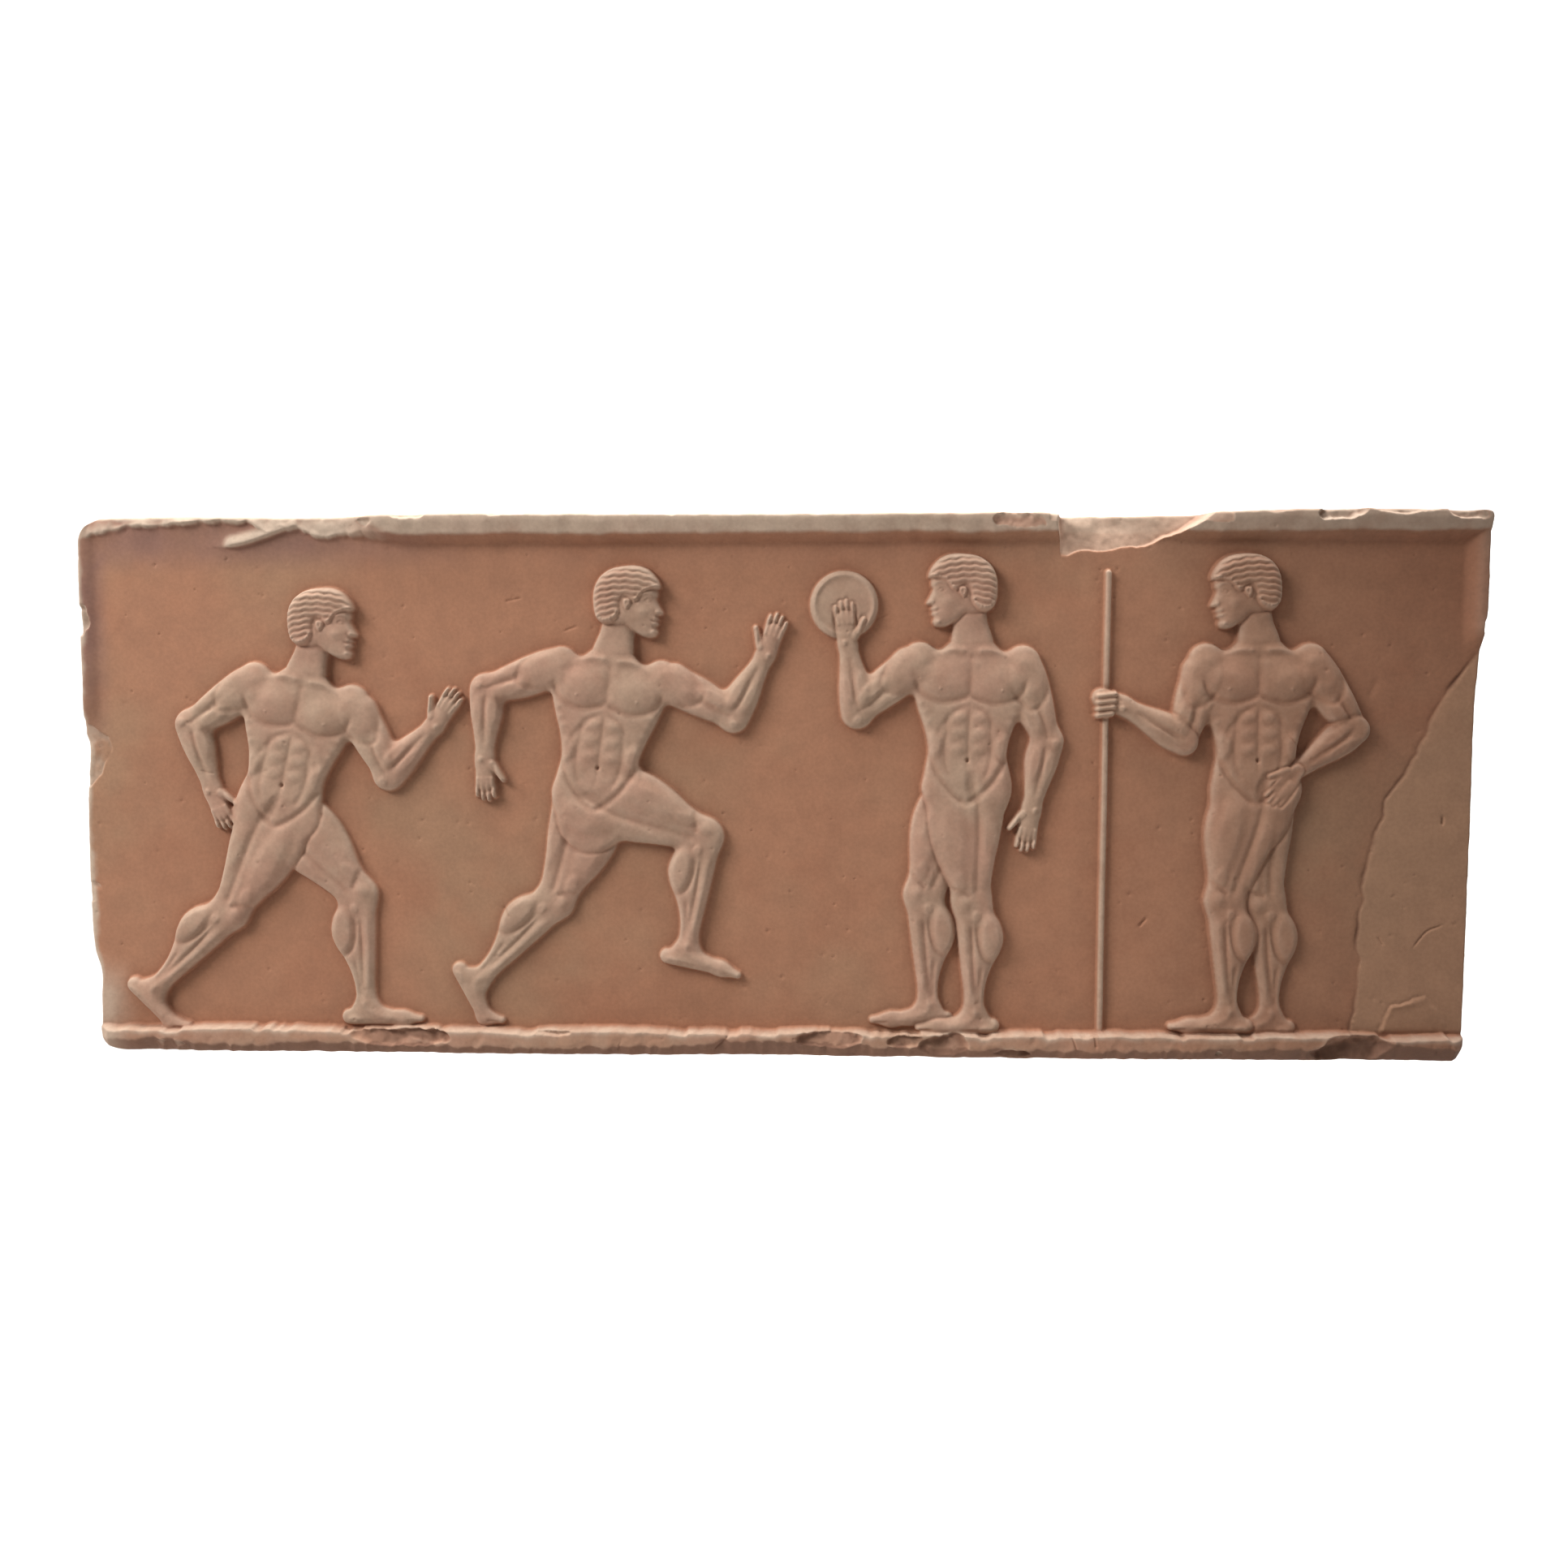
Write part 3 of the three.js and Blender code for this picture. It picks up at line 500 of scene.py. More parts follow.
TORSO = {
    "front": TORSO_SIDE,
    "back": TORSO_SIDE,
    "marks": [
        groove([(.02, 0), (.07, 0), (.115, 0)], .5, .007),
        *both_sides(groove, [(.018, .008), (.016, .045), (.026, .095)], -.7, .007),
        *paired(.082, .058, .046, .060, 1.1, soft=.8),
        *both_sides(groove, [(.070, .120), (.106, .102), (.124, .060), (.118, .020), (.110, 0)], .9, .007),
        *paired(.098, .064, .004, .004, .35),
        *both_sides(groove, [(.128, 0), (.145, .030), (.175, .055), (.205, .070)], .45, .007),
        groove([(.125, 0), (.2, 0), (.275, 0)], .45, .005),
        *paired(.155, .021, .016, .019, .5, soft=.8),
        *paired(.188, .022, .017, .021, .5, soft=.8),
        *paired(.222, .022, .016, .020, .5, soft=.8),
        swelling(.275, 0, .034, .032, .5, soft=.8),
        *both_sides(groove, [(.15, .043), (.2, .047), (.25, .046), (.29, .032)], .5, .006),
        *paired(.215, .072, .036, .022, .9),
        *both_sides(groove, [(.228, .105), (.247, .078), (.285, .056), (.322, .022), (.335, 0)], .95, .007),
        swelling(.245, 0, .006, .005, -1),
        *paired(.128, .102, .009, .020, .3, -24, 1),
        *paired(.148, .096, .009, .020, .3, -24, 1),
        *paired(.168, .088, .009, .020, .3, -24, 1),
    ],
}

# The head, in shares of its own height, from its middle
HEAD_OUTLINE = [
    (.05, .49), (.22, .45), (.345, .34), (.392, .22), (.400, .12), (.384, .065), (.425, -.02), (.478, -.108),
    (.466, -.146), (.416, -.166), (.430, -.208), (.410, -.238), (.423, -.282), (.394, -.325), (.412, -.39),
    (.37, -.455), (.24, -.465), (.09, -.40), (-.04, -.30), (-.16, -.30), (-.33, -.27), (-.44, -.08),
    (-.465, .12), (-.40, .31), (-.22, .445),
]
HAIR_OUTLINE = [
    (.05, .535), (.24, .492), (.375, .375), (.435, .255), (.40, .205), (.29, .195), (.19, .14), (.12, .03),
    (.06, 0), (0, .06), (-.09, .09), (-.13, 0), (-.13, -.14), (-.22, -.27), (-.35, -.30), (-.47, -.20),
    (-.515, 0), (-.505, .2), (-.42, .37), (-.24, .49),
]
EAR_OUTLINE = [
    (-.02, .075), (.03, .05), (.03, -.01), (0, -.06), (-.03, -.095), (-.06, -.06), (-.085, 0), (-.075, .055),
]
HAIRLINE = [(.385, .250), (.29, .232), (.185, .18), (.105, .075)]
NAPE = [(-.160, -.12), (-.22, -.22), (-.34, -.26), (-.44, -.19)]
CURLS = ((HAIRLINE, 9), (NAPE, 8))
FACE_MARKS = [
    swelling(.27, .045, .11, .065, -.9, soft=.9),
    swelling(.272, .042, .052, .030, 1, soft=.8),
    groove([(.195, .035), (.235, .080), (.29, .082), (.335, .045)], -.5, .013),
    groove([(.205, .028), (.26, .002), (.325, .025)], -.4, .011),
    groove([(.16, .11), (.24, .155), (.33, .148), (.392, .11)], -.7, .022),
    swelling(.405, -.118, .035, .028, .5),
    groove([(.375, -.07), (.352, -.11), (.375, -.155)], .4, .014),
    groove([(.428, -.238), (.37, -.236), (.305, -.222)], .8, .012),
    swelling(.385, -.206, .055, .020, .4),
    swelling(.382, -.272, .050, .022, .5),
    swelling(.36, -.395, .06, .05, .6),
    swelling(.19, -.12, .14, .12, .6, soft=.9),
]
EAR_MARKS = [swelling(-.022, 0, .030, .055, -1, soft=.7)]

# Hair is combed in rows round a point far below the crown
COMB_CENTRE = (-.05, -.95)
COMB_PITCH = .082
COMB_DEPTH = 1.3
COMB_WAVE, COMB_WAVE_LENGTH = .007, .17

# A curl's half length, half width, rise, turn and softness
CURL = (.036, .026, 1.5, 60, .9)


def combed_rows(u, v):
    """Rows of hair, each a rounded ridge."""
    wave = COMB_WAVE * np.sin(2 * pi * u / COMB_WAVE_LENGTH)
    radius = np.hypot(u - COMB_CENTRE[0], v - COMB_CENTRE[1]) + wave
    return COMB_DEPTH * (np.abs(np.sin(pi * radius / COMB_PITCH)) ** .7 - .5)


def curl_row(u, v):
    """Small curls in a row along the brow and the nape."""
    rise = np.zeros(u.shape)
    for line, count in CURLS:
        for k in np.linspace(0, 1, count):
            cu, cv = (np.interp(k, np.linspace(0, 1, len(line)), axis) for axis in np.transpose(line))
            rise += swelling(cu, cv, *CURL)(u, v)
    return rise


# Bone lengths and joint places, and for each finger its root across the palm, its length and its spread
BONES = {"thigh": .245, "shank": .235, "upper": .170, "fore": .148, "torso": .30, "neck": .055, "head": .150}
CROTCH, SHOULDER_DROP, SHOULDER = .055, .040, .1064
TORSO_SIZE = .95
HEEL, BALL, TOE = (-.038, -.034), (.078, -.034), .038
KNUCKLES, FINGER_ROOT = .046, .040
FINGERS = ((.0155, .038, 3), (.0052, .045, 1), (-.0052, .043, -1), (-.0155, .035, -4))
THUMB_ROOT, THUMB_TURN, THUMB_LENGTH = (.010, .017), 32, .040
HEAD_CENTRE = (.08, .34)
NECK_FOOT, NAPE_PLACE = .03, (-.10, -.10)

# Fingers closed round a staff: the height of the first and the step to the next, where they start and how
# much later each next one does, and where and how much lower they end
GRIP_TOP, GRIP_STEP = .024, .0135
GRIP_START, GRIP_LATER = .018, .002
GRIP_END, GRIP_FALL = .052, .004

# Where each athlete stands along the panel and the turn of each bone, in degrees from the way it faces
ATHLETES = [
    {
        "place": .144, "facing": 1, "hip": .468, "spine": 77, "neck": 62, "head": -2, "holds": None,
        "near": (-118, -134, -46, -4), "far": (-48, -86, 0, 0), "front": (-64, 46, 56),
        "back": (214, 287, 292),
    },
    {
        "place": .375, "facing": 1, "hip": .505, "spine": 82, "neck": 68, "head": -2, "holds": None,
        "near": (-22, -98, -12, -20), "far": (-112, -133, -62, -8), "front": (-28, 62, 70),
        "back": (198, 268, 272),
    },
    {
        "place": .640, "facing": -1, "hip": .522, "spine": 92, "neck": 80, "head": -4, "holds": "discus",
        "near": (-94, -91, 0, 0), "far": (-70, -92, 0, 0), "front": (-40, 82, 84), "back": (-108, -78, -80),
    },
    {
        "place": .8435, "facing": -1, "hip": .522, "spine": 90, "neck": 76, "head": -8, "holds": "staff",
        "near": (-77, -92, 0, 0), "far": (-97, -93, 0, 0), "front": (-76, 30, 20), "back": (-124, -36, -50),
    },
]

# How far each form stands out of the background, in millimetres
LEVELS = {
    "far": 5.0, "near": 7.0, "neck": 5.8, "torso": 6.6, "head": 7.0, "hair": 7.9, "ear": 8.6, "front": 6.4,
    "back": 6.0, "front_hand": 5.8, "back_hand": 5.4, "discus": 4.6, "staff": 3.2, "bent_arm": 6.8,
    "resting_hand": 7.4, "grip": 7.2,
}

# How much lower than its limb's level each next form of a leg and of an arm is, and how much higher a thumb
LEG_FALL, HAND_FALL, FOREARM_FALL, THUMB_RISE = .3, .8, .3, .3


# The discus: how far its foot lies from the wrist, the points of its outline, and its turned rim and boss
DISCUS_ASIDE, DISCUS_ABOVE, DISCUS_POINTS = 2, 1.5, 16
RIM_RISE, RIM_WIDTH, BOSS_RISE, BOSS_WIDTH = .9, .07, .8, .12

# The staff: how far in front of the wrist it stands, how deep in the ledge, and how far its top leans
STAFF_AHEAD, STAFF_SUNK, STAFF_LEAN = 10, 1, 1


class Athlete:
    """One figure, built from its pose, ground line and height."""

    def __init__(self, pose, ground, height):
        self.pose, self.unit, self.facing, self.ground = pose, height, pose["facing"], ground
        self.hip = (LEFT + pose["place"] * LENGTH, ground + pose["hip"] * height)
        spine = pose["spine"]
        self.throat = self.step(self.hip, spine, BONES["torso"])
        self.crotch = self.step(self.hip, spine + 180, CROTCH)
        chest = self.step(self.throat, spine + 180, SHOULDER_DROP)
        self.shoulders = {
            "front": self.step(chest, spine + 270, SHOULDER),
            "back": self.step(chest, spine + 90, SHOULDER),
        }

    def step(self, start, angle, length):
        """The point that lies a length away at an angle from the way the figure faces."""
        return Axes(start, angle, self.unit, self.facing).place(length)

    def limb(self, start, end, form, level, size=1.0):
        return Limb(start, end, form, level, self.unit, self.facing, size)

    def leg(self, which):
        level = LEVELS[which]
        thigh, shank, foot, toes = self.pose[which]
        knee = self.step(self.hip, thigh, BONES["thigh"])
        ankle = self.step(knee, shank, BONES["shank"])
        sole = Axes(ankle, foot, self.unit, self.facing)
        heel, ball = sole.place(*HEEL), sole.place(*BALL)
        return [
            self.limb(self.hip, knee, THIGH, level),
            self.limb(knee, ankle, SHANK, level - LEG_FALL),
            self.limb(heel, ball, FOOT, level - 2 * LEG_FALL),
            self.limb(ball, self.step(ball, toes, TOE), TOES, level - 3 * LEG_FALL),
        ]

    def wrist(self, which):
        upper, fore, _ = self.pose[which]
        return self.step(self.step(self.shoulders[which], upper, BONES["upper"]), fore, BONES["fore"])

    def arm(self, which, level):
        """The upper arm, the forearm and the palm."""
        upper, _, hand = self.pose[which]
        elbow = self.step(self.shoulders[which], upper, BONES["upper"])
        wrist = self.wrist(which)
        return [
            self.limb(self.shoulders[which], elbow, UPPER_ARM, level),
            self.limb(elbow, wrist, FOREARM, level - FOREARM_FALL),
            self.limb(wrist, self.step(wrist, hand, KNUCKLES), PALM, level - HAND_FALL),
        ]

    def fingers(self, which, level):
        """Four fingers and a thumb of an open hand."""
        turn = self.pose[which][2]
        hand = Axes(self.wrist(which), turn, self.unit, self.facing)
        fingers = []
        for across, length, spread in FINGERS:
            root = hand.place(FINGER_ROOT, across)
            fingers.append(self.limb(root, self.step(root, turn + spread, length), FINGER, level))
        root = hand.place(*THUMB_ROOT)
        tip = self.step(root, turn + THUMB_TURN, THUMB_LENGTH)
        fingers.append(self.limb(root, tip, THUMB, level + THUMB_RISE))
        return fingers

    def grip(self, which, level):
        """Four fingers closed round an upright staff."""
        hand = Axes(self.wrist(which), 0, self.unit, self.facing)
        fingers = []
        for k in range(len(FINGERS)):
            row = GRIP_TOP - GRIP_STEP * k
            start, end = hand.place(GRIP_START + GRIP_LATER * k, row), hand.place(GRIP_END, row - GRIP_FALL)
            fingers.append(self.limb(start, end, KNUCKLE, level))
        return fingers

    def torso(self):
        neck_turn = self.pose["neck"]
        nape = self.head_axes().place(*NAPE_PLACE)
        neck = self.limb(self.step(self.throat, neck_turn + 180, NECK_FOOT), nape, NECK, LEVELS["neck"])
        return [neck, self.limb(self.throat, self.crotch, TORSO, LEVELS["torso"], TORSO_SIZE)]

    def head_axes(self):
        top = self.step(self.throat, self.pose["neck"], BONES["neck"])
        unit, tilt = BONES["head"] * self.unit, self.pose["head"]
        centre = Axes(top, tilt, unit, self.facing).place(*HEAD_CENTRE)
        return Axes(centre, tilt, unit, self.facing)

    def carve_head(self, face):
        axes = self.head_axes()
        face.lay([Shape(axes, HEAD_OUTLINE, LEVELS["head"], FACE_MARKS)], **HEAD_EDGE)
        face.lay([Shape(axes, HAIR_OUTLINE, LEVELS["hair"], [combed_rows, curl_row])], **HAIR_EDGE)
        face.lay([Shape(axes, EAR_OUTLINE, LEVELS["ear"], EAR_MARKS)], **EAR_EDGE)

    def discus(self, radius, rim):
        """A disc held upright behind the fingers, with a raised rim and a boss."""
        x, z = self.wrist("front")
        axes = Axes((x - DISCUS_ASIDE, z + radius + DISCUS_ABOVE), 0, radius, 1)
        turns = [2 * pi * k / DISCUS_POINTS for k in range(DISCUS_POINTS)]
        outline = [(cos(turn), sin(turn)) for turn in turns]
        ring = 1 - rim / radius / 2

        def turned(u, v):
            away = np.hypot(u, v)
            return bell(away, RIM_RISE, ring, RIM_WIDTH) + bell(away, BOSS_RISE, 0, BOSS_WIDTH)

        return Shape(axes, outline, LEVELS["discus"], [turned])

    def staff(self, width, top):
        """A thin upright staff on the ground line in front of the figure."""
        x = self.wrist("front")[0] - STAFF_AHEAD
        half = width / 2 / self.unit
        rod = {"front": [(0, half), (1, half)], "back": [(0, half), (1, half)]}
        return self.limb((x, self.ground - STAFF_SUNK), (x + STAFF_LEAN, top), rod, LEVELS["staff"])

    def carve(self, face, sizes):
        """Lays the figure from its far side to its near side."""
        face.lay(self.leg("far"), **BODY_EDGE)
        if self.pose["holds"] == "staff":
            front, back = self.arm("front", LEVELS["bent_arm"]), self.arm("back", LEVELS["torso"])
            face.lay([self.staff(sizes.staff / MM, self.ground + sizes.staff_height / MM)], **ROD_EDGE)
            face.lay([*self.torso(), *self.leg("near"), back[0], front[0]], **BODY_EDGE)
            face.lay([back[1]], **ARM_EDGE)
            face.lay([*self.fingers("back", LEVELS["resting_hand"]), back[2]], **THIN_EDGE)
            face.lay(front[1:], **ARM_EDGE)
            face.lay(self.grip("front", LEVELS["grip"]), **THIN_EDGE)
        else:
            front, back = self.arm("front", LEVELS["front"]), self.arm("back", LEVELS["back"])
            face.lay(self.fingers("back", LEVELS["back_hand"]), **THIN_EDGE)
            if self.pose["holds"] == "discus":
                face.lay([self.discus(sizes.discus / MM, sizes.discus_rim / MM)], **DISCUS_EDGE)
            face.lay(self.fingers("front", LEVELS["front_hand"]), **THIN_EDGE)
            face.lay([*self.torso(), *back, *front, *self.leg("near")], **BODY_EDGE)
        self.carve_head(face)


# The panel's own form and wear. Places along a side are shares of its length, insets are millimetres.

LEFT_EDGE = [
    (0, 4.5), (.046, 5.1), (.109, 5.2), (.15, 5.2), (.195, 1.3), (.252, .2), (.388, .1), (.489, .8),
    (.571, 2.2), (.601, .1), (.685, .7), (.813, .4), (.91, .8), (.962, 1.3), (1, 1.5),
]
RIGHT_EDGE = [
    (0, 5.2), (.055, 4), (.2, 3.7), (.342, 3.5), (.458, 3.2), (.64, 3.5), (.737, 1.8), (.816, .2), (1, .1),
]
TOP_EDGE = [
    (0, 1.8), (.087, .9), (.153, 1.8), (.275, .7), (.415, 1.5), (.53, 1.7), (.69, 1.5), (.703, 2.4),
    (.814, 1.5), (.909, .1), (1, 1.5),
]
BOTTOM_EDGE = [(0, .3), (.5, .1), (1, .3)]
CORNER_RADII = {"left bottom": 16, "left top": 15, "right bottom": 6, "right top": 4}

# How far a rounded corner bends the grid along its sides and away from them, in radii
CORNER_REACH, CORNER_EASE = 2.2, 3

# How far in from a side its worn outline bends the grid, the radius of the rounded rim, and its raggedness
EDGE_REACH = 45
EDGE_ROUNDING = 1.7
EDGE_RAGGED = .25

# How far the borders and the highest relief stand out of the background
BORDER_RISE = 9

# Height of the lip along the panel, as a share of its whole height. It is broken at its left end.
LIP_LINE = [
    (0, 1.5), (.006, 1.05), (.018, .85), (.034, .6), (.045, .48), (.058, .64), (.077, .38), (.1, .28),
    (.111, .2), (.13, .5), (.141, .95), (.15, .65), (.165, .8), (.18, 1.2), (.19, 1.15), (.21, .92), (.24, 1),
    (1, 1),
]

# The lip is whole past LIP_WHOLE of the length. Its face rises to LIP_EDGE at its lower edge and slopes on to
# its full rise over LIP_SLOPE. A cove reaches down COVE below it, COVE_LOST less where the lip is broken.
LIP_WHOLE, LIP_EASE = .235, .05
LIP_EDGE, LIP_SLOPE = 7.2, 7
COVE, COVE_LOST, COVE_TOP = 7.5, 4.6, .6

# The broken end: how much lower it is all along and at its very end, and its sloped and rough surface
BREAK_LOWER, END_LOWER, END_SHARE = .5, .2, .09
BREAK_SLOPE, BREAK_DEPTH, BREAK_ROUGH = 2.6, .4, .6

# What is left of the lip's edge on the broken end: a thin ridge, steep below
LIP_RIDGE = ((-316, 138.5), (-303, 140.5), (-290, 144.5), (-277, 149), (-268, 151))
RIDGE_RISE, RIDGE_CUT, RIDGE_ABOVE, RIDGE_BELOW = 3.2, .8, 6, 1.3

# How high above the panel's foot the ledge's lower edge turns under, along the panel
NOSING_LINE = [
    (0, 9.2), (.05, 9), (.11, 5.6), (.17, 8), (.27, 6), (.41, 7), (.5, 11.4), (.56, 8.6), (.71, 6.2),
    (.82, 7.6), (.89, 9), (.94, 12.2), (1, 8),
]
NOSING_SLOPE = .55
NOSING_RAGGED, NOSING_GRAIN, NOSING_DROP = 2.2, .25, .9

# The ledge's upper line: its long and short waves, its gaps, and how steep its upper edge is
LEDGE_WAVE, LEDGE_RIPPLE, LEDGE_GAP, GAP_NOISE = .8, .3, 1.5, (.35, .9)
LEDGE_EDGE = (-1.2, .7)
LEDGE_DENT, DENT_FROM = .6, (6, 8.5)

# The ledge's ends are bevelled: how low they start, and between which distances from the side they rise
END_LOW, END_BEVEL = .25, (-2, 8)

# Rims: their rise, the places along the panel where they begin and are full, and the same for their lower end
RIGHT_RIM = (5.5, (387, 397), (72, 92))
LEFT_RIM = (2.6, (-388, -397.5), (30, 50))

# A low pale block at the foot of the left side, with a wavy outline
FOOT_BLOCK = (1.6, (-372, -390), (-96, -124))
BORDER_BLEND = 1.0

# Oval breaks: x, z, half length, half width, floor above the background, lean, turn, freshness
CHIPS = [
    # Along the lip
    (-236, 150, 12, 5, 4.6, .2, 14, 1), (-205, 156, 15, 4, 5.5, .3, 3, .9),
    (-150, 157, 24, 3, 6.5, .3, 0, .7), (-60, 157, 26, 3, 6.8, .3, 0, .6),
    (30, 157, 18, 3, 6.8, .3, 0, .5), (140, 150, 22, 8, 6.4, .1, -8, .1),
    (283, 157, 22, 3.4, 7.4, .3, 2, .6), (318, 155, 14, 5.5, 4.6, .2, 10, 1),
    (352, 157, 22, 5, 5.6, .3, 0, .9), (386, 154, 14, 5.5, 4.8, .2, -8, .9),
    # Left side
    (-399, 97, 6, 12, -.1, 0, 8, .8), (-399, -62, 8, 9, -.2, 0, 10, .6),
    # Along the ledge
    (-219, -145.5, 30, 6.5, 5.2, .35, -4, 0), (-200, -144, 17, 5, 4.4, .3, -6, 0),
    (34, -145, 22, 6.5, 5.6, .35, 4, 0), (99, -148, 20, 8, 5, .3, 5, 0),
    (78, -145.5, 12, 5, 5.6, .3, 0, 0), (180, -139, 9, 4, 5.8, -.4, 8, .6),
    (333, -149.5, 24, 11, 1.4, .1, 3, .05), (257, -151, 2.6, 1.8, 6, 0, 0, 1),
    (398, -150, 5, 9, 3, 0, 0, .5),
    # Right side
    (401, 60, 4, 16, 2, 0, 0, .2), (401, 92, 4, 9, 4, 0, 0, .2), (401, -40, 3.5, 22, .5, 0, 0, .2),
    # The ledge's edges
    (-352, -150, 15, 3, 6.4, -.3, 0, .6), (-126, -141, 12, 2.4, 6.4, -.4, 0, .5),
    (140, -152, 14, 3, 5, .2, 0, .3),
]

# Breaks with a drawn outline: their points, floor at the lowest point, lean and freshness
SPALLS = [
    (((163, 160), (163, 131), (168, 130), (180, 133), (207, 135), (230, 144), (252, 160)), .2, .24, .5),
    (((-404, 50), (-397, 38), (-385, 30), (-382, 22), (-389, 8), (-396, -2), (-404, -4)), -.35, .01, .6),
]

# The crack from the right edge down to the ledge, in shares of half the panel's length and height
CRACK = [
    (1.003, .514), (.962, .388), (.93, .242), (.911, .124), (.89, .035), (.872, -.039), (.867, -.113),
    (.857, -.20), (.845, -.322), (.842, -.412), (.838, -.532), (.842, -.684), (.838, -.80), (.83, -.907),
]
CRACK_RAGGED = 1.3
CEMENT_RISE, CEMENT_TOP = .45, (84, 78)

# A low scar beyond the crack, in the same shares, with a broken ridge and cut along its outline
SCAR = [
    (.862, -.95), (.878, -.84), (.889, -.80), (.915, -.775), (.936, -.76), (.955, -.80), (.968, -.86),
    (.975, -.95),
]
SCAR_RISE, SCAR_RAGGED, SCAR_END = .35, 1.3, (388, 366)
SCAR_RIDGE, SCAR_CUT = (.7, -1.4, 1.3), (.6, .5, .6)

# Scratches: their points, depth and width
SCRATCHES = [
    (((-32, -151), (-27, -146), (-22, -141)), .8, .5), (((-88, -152), (-86, -147)), .7, .5),
    (((367, -90), (374, -81), (383, -77)), .7, .5), (((381, -20), (381, -15)), .9, .8),
    (((187, -148), (186, -141)), .9, .7), (((176, -149), (173, -141)), .8, .6),
    (((-150, -75), (-155, -69)), .6, .8), (((212, -79), (216, -74)), .8, .8),
    (((-152, 107), (-142, 109)), .5, .7), (((-118, 90), (-110, 93)), .4, .7),
    (((347, -84), (350, -89)), .5, .7), (((342, 62), (338, 52)), .35, 1.6),
    (((-330, 10), (-322, 8)), .4, .6), (((60, 96), (68, 99)), .4, .6), (((292, 30), (300, 22)), .4, .6),
]

# Pits: how many, and the ranges of their radius and depth
PITS, PIT_RADIUS, PIT_DEPTH = 420, (.35, 1.1), (.15, .5)
WEATHER_SEED = 77

# How far the carving is worn soft, and how uneven the clay is over long, middle and short distances
WORN_SOFT = .35
UNEVEN, UNEVEN_MIDDLE, UNEVEN_SHORT, UNEVEN_BODIES = .22, .09, .05, .16
STAIN = .55


def centred(points):
    """Shares of half the panel's length and height, as places on it."""
    return [(u * LENGTH / 2 + (LEFT + RIGHT) / 2, v * HEIGHT / 2 + (BOTTOM + TOP) / 2) for u, v in points]


def shape_lip(face, sizes, share, broken):
    """Height of the top lip, with the cove under it and what is left of it at its broken end."""
    X, Z = face.X, face.Z
    wobble = .5 * wavering(X, 24, 11)
    low_end = 1 - BREAK_LOWER * broken - END_LOWER * smooth(END_SHARE, 0, share)
    lip_height = sizes.lip / MM * np.interp(share, *zip(*LIP_LINE))
    below = Z - (TOP - lip_height - wobble - (.3 + broken) * wavering(X, 6, 15))
    lip = LIP_EDGE * smooth(COVE_LOST * broken - COVE, COVE_TOP, below)
    lip = lip + (BORDER_RISE - LIP_EDGE) * smooth(0, LIP_SLOPE, below)
    lip = lip * (.96 + .04 * lumps(X, Z, 8, 16))
    sloped = np.clip(1 - (TOP - Z) / np.maximum(lip_height, 3), 0, 1)
    lost = BREAK_SLOPE * sloped + BREAK_DEPTH + BREAK_ROUGH * rough(X, Z, 8, 17)
    lip = low_end * lip - broken * smooth(0, 4, lip) * lost
    ridge = groove(LIP_RIDGE, RIDGE_CUT, RIDGE_ABOVE, RIDGE_BELOW)(X, Z)
    return np.maximum(lip, -RIDGE_RISE / RIDGE_CUT * ridge)


def shape_ledge(face, sizes, share):
    """Height of the ledge, its upper line, how far its lower edge is turned, and its bevelled right end."""
    X, Z = face.X, face.Z
    ground = BOTTOM + sizes.ledge / MM + LEDGE_WAVE * wavering(X, 36, 12) + LEDGE_RIPPLE * wavering(X, 8, 13)
    ground = ground - LEDGE_GAP * smooth(*GAP_NOISE, wavering(X, 13, 14))
    ledge = BORDER_RISE * smooth(*LEDGE_EDGE, ground - Z)
    ledge = ledge - LEDGE_DENT * smooth(*DENT_FROM, ledge) * np.clip(rough(X, Z, 8, 18), 0, 1)
    ragged = NOSING_RAGGED * np.abs(wavering(X, 11, 21)) + NOSING_GRAIN * lumps(X, 0 * X, 5, 22) - NOSING_DROP
    nosing = BOTTOM + through(NOSING_LINE, share) + ragged
    turned = NOSING_SLOPE * np.clip(nosing - Z, 0, None)
    level = (Z - BOTTOM) / HEIGHT
    left_end = smooth(*END_BEVEL, X - LEFT - through(LEFT_EDGE, level))
    right_end = smooth(*END_BEVEL, RIGHT - through(RIGHT_EDGE, level) - X)
    ends = END_LOW + (1 - END_LOW) * left_end * right_end
    return ledge * ends - np.where(ledge > 0, turned, 0), ground, turned, right_end


def rising(x, z, rise, along, up):
    """A height that grows to rise along the panel and up it."""
    return rise * smooth(*along, x) * smooth(*up, z)


